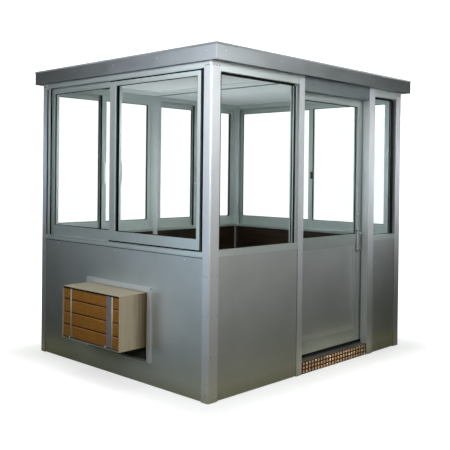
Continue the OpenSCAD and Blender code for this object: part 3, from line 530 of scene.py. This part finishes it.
rivetLook = dict(radiusMm=4.4, heightMm=2.4, sides=10, rings=4)
rivetShadowLook = dict(radiusMm=5.6, heightMm=0.9, sides=12, rings=3)
postRivets = dict(spacingMm=270, footMm=35, edgeMm=24, insetMm=12, footRiseMm=28, eaveMm=30, eaveCount=3)
footRises = np.array([0.5, 1.0, 0.0, 1.6])  # the foot's four rivets, across the face


def addPostRivets():
    # two upright columns on each face of the corner posts below the belt, four more round the foot of each
    # face, and a row of three under the eave; a black ring under each lower head is painted shadow round it
    s = metres(postRivets)
    column = np.arange(s.foot, sillTop, s.spacing)
    z = np.concatenate([column, column, s.foot + s.footRise * footRises])
    heads, rivetShadows, tops = [], [], []
    for wall, half, width in (("front", xOut, postWide), ("rear", xOut, postWide), ("left", yOut, postDeep),
                              ("right", yOut, postDeep)):
        inner = width - s.inset
        cluster = np.linspace(s.edge, inner, len(footRises))
        x = np.concatenate([0 * column + s.edge, 0 * column + inner, cluster])
        row = np.linspace(s.edge, inner, postRivets["eaveCount"])
        for side in (-1, 1):
            heads.append(domeHeads(wall, side * (half - x), 0.0, z, rivetLook))
            rivetShadows.append(domeHeads(wall, side * (half - x), 0.0, z, rivetShadowLook))
            tops.append(domeHeads(wall, side * (half - row), 0.0, wallTop - s.eave, rivetLook))
    addPiece("corner_post_rivets", heads, "screw", slot="post_aluminium")
    addPiece("corner_post_rivet_shadows", rivetShadows, "gasket")
    addPiece("post_top_screws", tops, "latch_plastic")


screwLook = dict(radiusMm=6.0, heightMm=2.4, sides=10, rings=4, belowMm=32, endMm=180)
eaveScrews = dict(belowMm=45, endMm=90, count=5)


def addScrews():
    # panel screws in a line under the belt, and smaller ones along the fascia
    panel, eave = metres(screwLook), metres(eaveScrews)
    sideFace, frontFace = xOut - eaveHigh.x, yOut - eaveHigh.y
    heads = []
    for wall, half, count in (("left", yOut - postDeep, 3), ("right", yOut - postDeep, 3),
                              ("rear", xOut - postWide, 4)):
        x = np.linspace(panel.end - half, half - panel.end, count)
        heads.append(domeHeads(wall, x, panelFace, sillTop - panel.below, screwLook))
    for wall, half, face in (("left", eaveHigh.y, sideFace), ("right", eaveHigh.y, sideFace),
                             ("front", eaveHigh.x, frontFace), ("rear", eaveHigh.x, frontFace)):
        x = np.linspace(eave.end - half, half - eave.end, eaveScrews["count"])
        heads.append(domeHeads(wall, x, face, eaveHigh.z - eave.below, rivetLook))
    addPiece("sheet_screws", heads, "screw")


addPostRivets()
addScrews()
print("rivets and screws set")


gasketLook = dict(widthMm=5, proudMm=3, biteMm=6, steps=7)


def gasketProfile(face, outwards):
    # a rubber strip with a rounded lip: half an ellipse standing off the glass, flat at its back
    s = metres(gasketLook)
    turn = np.linspace(0, np.pi, gasketLook["steps"])
    across = -s.bite - s.width * (0.5 - 0.5 * np.cos(turn))
    return np.stack([across, face - outwards * s.proud * np.sin(turn)], -1)


def addGaskets(name, wall, node, body):
    # a gasket on both faces of every pane of a window
    groups = []
    for low, high in parts(wall, node):
        for face, outwards in ((low[1], 1), (high[1], -1)):
            x, z, depth = mitredRing(low[[0, 2]], high[[0, 2]], gasketProfile(face, outwards))
            groups.append(closedRing(onWall(wall, x, depth, z)))
    addPiece(name, groups, "gasket", body)


for name, wall, node, body in (("front_window_gasket", "front", "front_window_glass", "booth"),
                               ("side_light_gasket", "front", "side_light_glass", "booth"),
                               ("door_glass_gasket", "front", "door_glass", "door"),
                               ("left_window_gaskets", "left", "left_window_glass", "booth"),
                               ("right_window_gaskets", "right", "right_window_glass", "booth"),
                               ("rear_window_gaskets", "rear", "rear_window_glass", "booth")):
    addGaskets(name, wall, node, body)
print("gaskets set")


sealLook = dict(headMm=15, jambMm=28, proudMm=4, roundMm=2, glassMm=0.5, seatMm=0.3, nearMm=2)
# how far the right strip laps the glass, and how far it stays from the end of the frame; the side light's
# wide strip is painted shade over its jamb
fixedWindows = (dict(frame="front_window_frame", pane="front_window_glass", lapMm=5, endMm=12),
                dict(frame="side_light_frame", pane="side_light_glass", lapMm=18, endMm=1))


def addFixedSeals():
    # black glazing rubber round the fixed windows: a deep lip under the head in front of the glass, and flat
    # strips over the jambs; on the side light's right jamb the strip is widened as painted shade
    s, bite = metres(sealLook), metres(gasketLook).bite
    groups = []
    for window in fixedWindows:
        low, high = nodeBox("front", window["frame"])
        paneLow, paneHigh = nodeBox("front", window["pane"])
        right = metres(window)
        head, sill = paneHigh[2] - bite, paneLow[2] + bite
        groups.append(bar("front", (low[0] + end, high[0] - end), (s.jamb, paneLow[1] - s.glass),
                          (head - s.head, head - s.glass), s.round))
        depth = (s.jamb - s.proud, s.jamb - s.seat)
        for x in ((low[0] + end, paneLow[0] + bite + s.near),
                  (paneHigh[0] - bite - right.lap, high[0] - right.end)):
            groups.append(bar("front", x, depth, (sill, head - s.head), s.round))
    addPiece("fixed_window_seals_and_shade", groups, "gasket")


pileAndShadeLook = dict(thickMm=1.6, roundMm=0.7, edgeMm=2.4, stileMm=3.0, coverMm=24, railMm=9, sideMm=10,
                shortMm=11, freeMm=10, seatMm=0.3, finSeatMm=0.4)
# depths of a frame's front lip and of the fin between its tracks, and widths of its base and jamb cover
trackLook = dict(lipMm=6, finMm=30, baseMm=6, jambMm=34)
sealantLook = dict(faceMm=3.0, jambMm=15, proudMm=1.0, jointMm=3, underMm=6, footMm=2, endMm=4, roundMm=0.5)


def addTrackPileAndShade():
    # black strips in the empty outer track of each sliding window, on the free edge of its outer sash and
    # between the two meeting stiles, as upright strips, and level ones along the head and the foot of the
    # outer sash, with a dark bead beside the jamb; part is real weather pile, and part is painted shade in
    # the track reveals, between the sashes and in the groove at the jamb
    s, track, jambShade = metres(pileAndShadeLook), metres(trackLook), metres(sealantLook)
    groups = []
    for wall, frameNode in (("left", "left_window_frame"), ("right", "right_window_frame"),
                            ("rear", "rear_window_frames")):
        sashes = parts(wall, wall + "_window_sashes")
        for low, high in parts(wall, frameNode):
            inside = [box for box in sashes if low[0] < (box[0][0] + box[1][0]) / 2 < high[0]]
            inLow, inHigh = max(inside, key=lambda box: box[0][1])
            outLow, outHigh = min(inside, key=lambda box: box[0][1])
            foot, head = inLow[2] + s.short, inHigh[2] - s.short
            left, right = low[0] + track.base, high[0] - track.base
            front = (outLow[1] - s.thick, outLow[1] - s.seat)
            fin = (track.fin - s.thick, track.fin - s.finSeat)
            # two places along the wall and two depths of each upright strip
            strips = [((left + seat, left + s.thick), (track.lip + end, track.fin - s.finSeat)),
                      ((left + s.thick, low[0] + track.jamb - end), fin),
                      ((outLow[0] + end, inHigh[0] - end), (inLow[1] - s.stile, inLow[1] - s.seat)),
                      ((outLow[0] + end, outLow[0] + s.cover), (outHigh[1] + s.seat, outHigh[1] + s.stile)),
                      ((low[0] + end, low[0] + jambShade.jamb), (jambShade.face - jambShade.proud, jambShade.face - seat)),
                      ((outHigh[0] - s.side, outHigh[0] - seat), front)]
            if right - outHigh[0] > s.free:
                strips += [((outHigh[0] + seat, outHigh[0] + s.edge), (outLow[1] + end, outHigh[1] - end)),
                           ((high[0] - track.jamb + end, right - s.thick), fin)]
            if wall != "left":
                strips.append(((inHigh[0] + seat, inHigh[0] + s.edge), (inLow[1] + end, inHigh[1] - end)))
            groups += [bar(wall, x, depth, (foot, head), s.round) for x, depth in strips]
            for z in ((foot - end, foot + s.rail), (head - s.rail, head + end)):
                groups.append(bar(wall, (outLow[0] + end, outHigh[0] - end), front, z, s.round))
    addPiece("window_track_pile_and_shade", groups, "gasket")


handleLook = dict(tallMm=190, wideMm=16, thickMm=8, outMm=34, bow=0.3, sides=10, steps=25)
latchLook = dict(tallMm=70, wideMm=22, pastMm=24, roundMm=4, nearMm=-20, farMm=200)


def bowHandle(wall, x, depth, z):
    # a D handle: an ellipse carried along a bow whose height is a sine raised to a small power, so that it
    # rises steeply at both feet and runs flat between them
    s = metres(handleLook)
    t = np.linspace(0, np.pi, handleLook["steps"])
    turn = np.linspace(0, 2 * np.pi, handleLook["sides"], endpoint=False)
    up = z - np.cos(t) * s.tall / 2
    reach = depth + (s.out - s.thick / 2) * np.sin(t) ** handleLook["bow"]
    rise, lead = np.gradient(reach), np.gradient(up)
    length = np.hypot(rise, lead)
    swell = s.thick / 2 * np.sin(turn)
    ringDepth = np.maximum(reach[:, None] + swell * (lead / length)[:, None], depth)
    ringUp = up[:, None] - swell * (rise / length)[:, None]
    return tube(onWall(wall, x + s.wide / 2 * np.cos(turn), ringDepth, ringUp))


def addHandles():
    # a white D handle on the room side of each inner sash, in place of the plain latch there; the right wall
    # has a short black latch at the edge of its stile
    s = metres(latchLook)
    pale, dark = [], []
    for wall in ("left", "rear", "right"):
        for low, high in parts(wall, "window_latches"):
            if not s.near < low[1] < s.far:  # a latch of another wall
                continue
            x, z = (low[0] + high[0]) / 2, (low[2] + high[2]) / 2
            edge = low[0] - s.past
            if wall == "right":
                dark.append(bar(wall, (edge, edge + s.wide), (low[1], high[1]),
                                (z - s.tall / 2, z + s.tall / 2), s.round))
            else:
                pale.append(bowHandle(wall, x, low[1], z))
    one = addPiece("window_handles_pale", pale, "handle")
    two = addPiece("window_handles_black", dark, "latch_plastic")
    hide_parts("window_latches")
    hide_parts("window_latches")


def addJointSealantAndBeltShadow():
    # thin dark beads where the panels meet the posts, and a wider dark strip under the belt of a wall with
    # sliding windows, painted shadow under the ledge
    s = metres(sealantLook)
    groups = []
    for wall, node in (("left", "left_wall_panel"), ("right", "right_wall_panel"),
                       ("rear", "rear_wall_panel"), ("front", "front_wall_panel"),
                       ("front", "side_light_panel")):
        for low, high in parts(wall, node):
            depth = (low[1] - s.proud, low[1] - seat)
            groups += [bar(wall, (x, x + s.joint), depth, (low[2] + s.foot, beltFoot), s.round)
                       for x in (low[0], high[0] - s.joint)]
            if wall != "front":
                groups.append(bar(wall, (low[0] + s.end, high[0] - s.end), depth,
                                  (beltFoot - s.under, beltFoot), s.round))
    addPiece("panel_joint_sealant_and_belt_shadow", groups, "gasket")


addFixedSeals()
addTrackPileAndShade()
addHandles()
addJointSealantAndBeltShadow()
print("seals, pile and handles set")


coilLook = dict(rows=4, finMm=4.0, finDeepMm=3.0, edgeMm=7.0, edgeDeepMm=8.0, edgeSteps=5, gapMm=6)
tubeLook = dict(radiusMm=3.6, backMm=2, sides=10)


def addCoil():
    # rows of upright fins: depth along the row is a triangle wave one fin wide, and towards the top and the
    # foot of each row the face falls back along a quarter ellipse
    low, high = nodeBox("left", "ac_coil")
    s = metres(coilLook)
    rowHigh = (high[2] - low[2]) / coilLook["rows"]
    fins = int((high[0] - low[0]) / s.fin)
    x = np.linspace(low[0], high[0], 2 * fins + 1)[:, None]
    wave = np.arange(2 * fins + 1)[:, None] % 2 * s.finDeep
    turn = np.linspace(0, np.pi / 2, coilLook["edgeSteps"])
    rise = np.concatenate([s.edge * (1 - np.cos(turn)), rowHigh - s.edge * (1 - np.cos(turn[::-1]))])
    fall = np.concatenate([1 - np.sin(turn), 1 - np.sin(turn[::-1])]) * s.edgeDeep
    rows = []
    for k in range(coilLook["rows"]):
        z = low[2] + k * rowHigh + s.gap / 2 + rise * (1 - s.gap / rowHigh)
        face = onWall("left", x, low[1] + fall + wave, z)
        back = onWall("left", x, high[1], z[::-1])
        rows.append(tube(np.concatenate([face, back], 1), openEnd=True))
    piece = addPiece("coil_fin_rows", rows, "coil_fins", smooth=False)
    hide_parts("ac_coil")
    # a round tube along the gap between two rows, just behind the face of the fins; its near black colour is
    # painted shade in the gap
    s = metres(tubeLook)
    turn = np.linspace(0, 2 * np.pi, tubeLook["sides"], endpoint=False)
    ring = (low[1] + s.radius + s.back, low[2]) + s.radius * np.stack([np.cos(turn), np.sin(turn)], -1)
    tubes = [run("left", ring + (0, k * rowHigh), low[0] + end, high[0] - end, "x")
             for k in range(1, coilLook["rows"])]
    piece = addPiece("coil_row_tubes", tubes, "copper")
    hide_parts("ac_coil")


strapLook = dict(creamMm=9, proudMm=2.2, tuckMm=3, besideMm=0.5, roundMm=1.0)


def addStrapTrim():
    # cream edge strips on the thin strap of the coil and beside the broad one
    straps = sorted(parts("left", "ac_straps"), key=lambda box: box[0][0])
    s = metres(strapLook)
    low, high = straps[0]
    depth, z = (low[1] - s.proud, low[1] + s.tuck), (low[2] + end, high[2] - end)
    strips = [bar("left", (x, x + s.cream), depth, z, s.round)
              for x in (low[0] + end, straps[-1][1][0] + s.beside)]
    addPiece("coil_strap_edges", strips, "ac_plastic")


lipLook = dict(tallMm=11, topMm=10, frontMm=2.5, backMm=0.4, seatMm=0.5, roundMm=0.8)
lipScrew = dict(radiusMm=8.0, heightMm=2.4, sides=12, rings=4, upMm=9, leftMm=-213, rightMm=229)


def addCaseLips():
    # a folded lip along the foot of the case's mouth with two bright screws, and a black strip under its top,
    # painted shadow under the top's edge
    low, high = nodeBox("left", "ac_coil")
    s, screw = metres(lipLook), metres(lipScrew)
    front = nodeBox("left", "ac_case")[0][1] + s.front
    depth = (front, nodeBox("left", "ac_straps")[0][1] - s.back)
    across = (low[0] + end, high[0] - end)
    lip = bar("left", across, depth, (low[2] + s.seat, low[2] + s.tall), s.round)
    foam = bar("left", across, depth, (high[2] - s.top, high[2] - s.seat), s.round)
    addPiece("case_foot_lip", [lip], "base_steel")
    addPiece("case_top_shade_strip", [foam], "gasket")
    heads = domeHeads("left", np.array([screw.left, screw.right]), front, low[2] + screw.up, lipScrew)
    addPiece("case_lip_screws", [heads], "screw")


recessLook = dict(deepMm=33.5, thickMm=4, roundMm=0.5, marginMm=1.5)


def addRecessShade():
    # dark sheet on the back of the recess in the wall below the case, painted shadow under it
    low, high = nodeBox("left", "ac_case")
    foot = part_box("ac_wall_trim")[0].z
    s = metres(recessLook)
    back = panelFace + s.deep
    sheet = bar("left", (low[0] + s.margin, high[0] - s.margin), (back - s.thick, back),
                (foot + s.margin, low[2] - s.margin), s.round)
    addPiece("case_recess_shade", [sheet], "foam")


addCoil()
addStrapTrim()
addCaseLips()
addRecessShade()
print("air conditioner dressed")


holeShadeLook = dict(bulgeMm=0.3, flatShare=0.4, backMm=0.1, seatMm=0.05, endMm=4, edgeMm=2, steps=40)


def addTreadHoleShade():
    # thin black sheet behind the pierced tread, painted shade that makes its holes read dark; it bulges a
    # little by a sine
    low, high = nodeBox("front", "step_tread")
    s, flat, steps = metres(holeShadeLook), holeShadeLook["flatShare"], holeShadeLook["steps"]
    x = np.linspace(low[0] + s.end, high[0] - s.end, steps)[:, None]
    depth = high[1] + s.back + s.bulge * (flat + (1 - flat) * np.sin(np.linspace(0, np.pi, steps)))
    front = high[1] + s.seat + 0 * depth
    z = np.array([low[2] + s.edge, high[2] - s.edge, high[2] - s.edge, low[2] + s.edge])
    shadeBacking = tube(onWall("front", x, np.stack([front, front, depth, depth], -1), z), openEnd=True)
    addPiece("tread_hole_shade", [shadeBacking], "gasket")


brushLook = dict(dropMm=8, thickMm=7.5, insetMm=0.5, seatMm=0.3, roundMm=1.5, endMm=2)
holderLook = dict(coverMm=12, proudMm=1.0, roundMm=0.4)


def addDoorBrush():
    # black brush under the foot of the door, short of the floor, and its holder over the foot of the front;
    # part real seal, part painted shade in the gap under the door
    low, high = nodeBox("front", "door_frame")
    s, holder = metres(brushLook), metres(holderLook)
    across = (low[0] + s.end, high[0] - s.end)
    front = low[1] + s.inset
    strips = [bar("front", across, (front, front + s.thick), (low[2] - s.drop, low[2] - s.seat), s.round),
              bar("front", across, (low[1] - holder.proud, low[1] - seat),
                  (low[2] - s.drop, low[2] + holder.cover), holder.round)]
    addPiece("door_foot_brush_and_shade", strips, "gasket", "door")


plateLook = dict(pastMm=6, thickMm=0.8, roundMm=0.3)


def addPullPlate():
    # black plate on the door behind the pull, a little past it on every side
    low, high = max(parts("front", "door_pull"), key=lambda box: box[1][2] - box[0][2])
    face = nodeBox("front", "door_frame")[0][1]
    s = metres(plateLook)
    plate = bar("front", (low[0] - s.past, high[0] + s.past), (face - s.thick, face - seat),
                (low[2] - s.past, high[2] + s.past), s.round)
    addPiece("pull_back_plate", [plate], "latch_plastic", "door")


addTreadHoleShade()
addDoorBrush()
addPullPlate()
print("doorway dressed")


wrapLook = dict(reachMm=42, proudMm=1.2, gapMm=12, foldMm=0.8, steps=5)


def addFasciaWraps():
    # folded corner caps on the fascia: an L in plan with a rounded fold, carried up from the drip to the rim
    low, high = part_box("roof_edge")
    s = metres(wrapLook)
    turn = np.linspace(0, np.pi / 2, wrapLook["steps"])
    fold = s.fold + s.proud
    planX = np.concatenate([[-s.reach], fold * np.sin(turn) - s.fold, [s.proud, seat, seat, -s.reach]])
    planY = np.concatenate([[s.proud], fold * np.cos(turn) - s.fold, [-s.reach, -s.reach, seat, seat]])
    inside = np.argmin(np.abs(planX) + np.abs(planY))
    z = np.array([low.z + end, high.z - s.gap])[:, None]
    groups = []
    for signX, cornerX in ((1, high.x), (-1, low.x)):
        for signY, cornerY in ((1, high.y), (-1, low.y)):
            spots = np.broadcast_arrays(cornerX + signX * planX, cornerY + signY * planY, z)
            groups.append(tube(np.stack(spots, -1), inside))
    addPiece("fascia_corner_wraps", groups, "roof_metal", smooth=False)


ceilingLook = dict(sideMm=2.5, seatMm=0.3, roundMm=0.6, jointMm=34, jointThickMm=2.0, marginMm=4)


def addCeilingTrim():
    # a thin metal band round the sides of the ceiling light, and a cover strip between the two ceiling panels
    s = metres(ceilingLook)
    low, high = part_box("ceiling_light")
    band = roundedProfile(s.seat, s.side, low.z + s.seat, high.z - s.seat, s.round)
    band = closedRing(np.stack(mitredRing(low.xy, high.xy, band), -1))
    addPiece("ceiling_light_band", [band], "mill_aluminium")
    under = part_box("ceiling_panels")[0]
    x, z = roundedProfile(-s.joint / 2, s.joint / 2, under.z - s.jointThick, under.z - s.seat, s.round).T
    y = np.array([under.y + s.margin, -under.y - s.margin])[:, None]
    strip = tube(np.stack(np.broadcast_arrays(x, y, z), -1))
    addPiece("ceiling_joint_strip", [strip], "mill_aluminium")


addFasciaWraps()
addCeilingTrim()
print("roof dressed")


def standing(right, up, back, place):
    # matrix of an object whose own axes point right, up and back
    turned = np.eye(4)
    turned[:3] = np.stack([right, up, back, place], -1)
    return Matrix(turned.tolist())


# Camera from the photograph: focal length and middle in pixels of its 450 pixel frame, place in metres.
cameraLook = dict(framePx=450, focalPx=712.886, middlePx=(225.15, 183.59), place=(-4.5495, -4.3319, 1.5157),
                  yaw=46.306, pitch=-0.630, roll=0.651, sensorMm=36.0)


def addCamera():
    yaw, pitch, roll = (math.radians(cameraLook[key]) for key in ("yaw", "pitch", "roll"))
    ahead = np.array([math.sin(yaw) * math.cos(pitch), math.cos(yaw) * math.cos(pitch), math.sin(pitch)])
    flat = np.array([math.cos(yaw), -math.sin(yaw), 0.0])
    above = np.cross(flat, ahead)
    right = math.cos(roll) * flat + math.sin(roll) * above
    up = math.cos(roll) * above - math.sin(roll) * flat
    data = bpy.data.cameras.new("photoCamera")
    data.sensor_width = cameraLook["sensorMm"]
    data.lens = cameraLook["focalPx"] / cameraLook["framePx"] * cameraLook["sensorMm"]
    data.shift_x = 0.5 - cameraLook["middlePx"][0] / cameraLook["framePx"]
    data.shift_y = cameraLook["middlePx"][1] / cameraLook["framePx"] - 0.5
    camera = bpy.data.objects.new("photoCamera", data)
    camera.matrix_world = standing(right, up, -ahead, cameraLook["place"])
    bpy.context.scene.collection.objects.link(camera)
    bpy.context.scene.camera = camera


# place, aim, width and height of each soft box in metres, spread of its grid in degrees, watts, colour
studio = {
    "leftBox": dict(place=(-4.2, 0.3, 2.6), aim=(-1.2, -0.3, 1.9), size=(2.4, 1.6), spread=75, watts=19.6,
                    tint="#e8ecf5"),
    "frontBox": dict(place=(0.3, -4.2, 2.6), aim=(-0.3, -1.0, 1.9), size=(2.4, 1.6), spread=75, watts=22.5,
                     tint="#eff1f3"),
    "nearKey": dict(place=(-3.0, -2.8, 2.0), aim=(-1.2, -1.0, 0.95), size=(1.2, 1.2), spread=100, watts=18.7,
                    tint="#f0ebee"),
    "leftFar": dict(place=(-3.4, 2.4, 1.9), aim=(-1.2, 0.98, 1.6), size=(0.5, 0.7), spread=28, watts=2.6,
                    tint="#c8daf2", mirrored=False),
    "frontFar": dict(place=(2.6, -3.4, 1.9), aim=(0.9, -1.0, 1.6), size=(0.7, 0.7), spread=38, watts=9.8,
                     tint="#f2f4fa", mirrored=False),
    "leftSweep": dict(place=(-5.2, 1.5, 0.6), aim=(-1.2, -1.0, 0.9), size=(1.2, 0.9), spread=60, watts=2.1,
                      tint="#c8e6ff"),
    "frontSweep": dict(place=(1.5, -5.2, 0.6), aim=(-1.0, -1.0, 0.9), size=(1.2, 0.9), spread=60, watts=0.6,
                       tint="#f6e8de"),
    "treadKey": dict(place=(0.2, -3.0, 0.12), aim=(0.24, -1.0, 0.05), size=(0.8, 0.1), spread=16, watts=0.8,
                     tint="#fff4de", mirrored=False),
    "rearBox": dict(place=(0.3, 4.2, 2.4), aim=(0.1, 1.0, 1.2), size=(2.4, 1.6), spread=75, watts=24,
                    tint="#f3f5f5"),
    "rightBox": dict(place=(4.2, 0.2, 2.4), aim=(1.2, 0.1, 1.2), size=(2.4, 1.6), spread=75, watts=22,
                     tint="#eef1f5"),
    "roofBox": dict(place=(0, 0, 6.4), aim=(0, 0, 2.4), size=(4.0, 3.6), spread=70, watts=40, tint="#f3f5f5",
                    mirrored=False),
    "room": dict(place=(0, 0, 0.98), aim=(0, 0, 2.2), size=(1.6, 1.4), spread=170, watts=20, tint="#edf4fa",
                 mirrored=False),
}


def addLights():
    for name, look in studio.items():
        data = bpy.data.lights.new(name, "AREA")
        data.shape = "RECTANGLE"
        data.size, data.size_y = look["size"]
        data.spread = math.radians(look["spread"])
        data.energy = look["watts"]
        data.color = hexLinear(look["tint"])[:3]
        lamp = bpy.data.objects.new(name, data)
        away = np.array(look["place"]) - np.array(look["aim"])
        away = away / np.linalg.norm(away)
        side = np.cross((0, 0, 1.0) if abs(away[2]) < 0.99 else (0, 1.0, 0), away)  # Y for a box overhead
        side = side / np.linalg.norm(side)
        lamp.matrix_world = standing(side, np.cross(away, side), away, look["place"])
        lamp.visible_camera = False
        lamp.visible_glossy = look.get("mirrored", True)
        bpy.context.scene.collection.objects.link(lamp)


surroundings = dict(seen="#ffffff", seenStrength=1.4, high="#e6f2b8", highStrength=0.13, low="#d8d4c8",
                    lowStrength=0.05, overhead=0.5)


def addSurroundings():
    # white to look at, dimmer in the light that it casts: one tone overhead, another along the horizon
    world = bpy.data.worlds.new("studioWorld")
    bpy.context.scene.world = world
    world.use_nodes = True
    tree = world.node_tree
    tree.nodes.clear()
    path = addNode(tree, "LightPath")
    above = addNode(tree, "SeparateXYZ", links={0: addNode(tree, "TexCoord").outputs["Generated"]})
    share = addNode(tree, "MapRange", {"From Max": surroundings["overhead"]}, {"Value": above.outputs[2]},
                    interpolation_type="SMOOTHSTEP")
    seen, high, low = (addNode(tree, "Background", {"Color": hexLinear(surroundings[key]),
                                                    "Strength": surroundings[key + "Strength"]})
                       for key in ("seen", "high", "low"))
    cast = addNode(tree, "MixShader", links={0: share, 1: low, 2: high})
    both = addNode(tree, "MixShader", links={0: path.outputs["Is Camera Ray"], 1: cast, 2: seen})
    addNode(tree, "OutputWorld", links={0: both})


floorLook = dict(reach=60.0, pale="#a9acab", bounce="#8d8654", lift=0.62, white=1.4, fadeNear=0.03,
                 fadeFar=0.74)


def addFloor():
    # pale floor that fades into the white surroundings: the distance is taken from the edge of the footprint,
    # as the length of what is left of a point's place once half the footprint is taken off
    material, tree, place = newMaterial("paleStudioFloor")
    mirrored = addNode(tree, "VectorMath", links={0: place}, operation="ABSOLUTE")
    outside = addNode(tree, "VectorMath", {1: (xOut, yOut, 0.0)}, {0: mirrored}, operation="SUBTRACT")
    beyond = addNode(tree, "VectorMath", {1: (0.0, 0.0, 0.0)}, {0: outside}, operation="MAXIMUM")
    distance = addNode(tree, "VectorMath", links={0: beyond}, operation="LENGTH")
    fade = addNode(tree, "MapRange", {"From Min": floorLook["fadeNear"], "From Max": floorLook["fadeFar"]},
                   {"Value": distance}, interpolation_type="SMOOTHSTEP")
    seen = addNode(tree, "LightPath").outputs["Is Camera Ray"]
    tone = addNode(tree, "Mix", {6: hexLinear(floorLook["bounce"]), 7: hexLinear(floorLook["pale"])},
                   {0: seen}, data_type="RGBA")
    matt = addNode(tree, "BsdfDiffuse", links={"Color": tone})
    lift, far = (addNode(tree, "Math", {1: floorLook[key]}, {0: seen}, operation="MULTIPLY")
                 for key in ("lift", "white"))
    glow, white = (addNode(tree, "Emission", links={"Strength": strength}) for strength in (lift, far))
    near = addNode(tree, "AddShader", links={0: matt, 1: glow})
    both = addNode(tree, "MixShader", links={0: fade, 1: near, 2: white})
    addNode(tree, "OutputMaterial", links={"Surface": both})
    reach = floorLook["reach"]
    mesh = bpy.data.meshes.new("studioFloor")
    mesh.from_pydata([(-reach, -reach, 0), (reach, -reach, 0), (reach, reach, 0), (-reach, reach, 0)], [],
                     [(0, 1, 2, 3)])
    mesh.materials.append(material)
    floor = bpy.data.objects.new("studioFloor", mesh)
    bpy.context.scene.collection.objects.link(floor)


addCamera()
addLights()
addSurroundings()
addFloor()
bpy.context.scene.view_settings.view_transform = "Standard"
print("studio set")
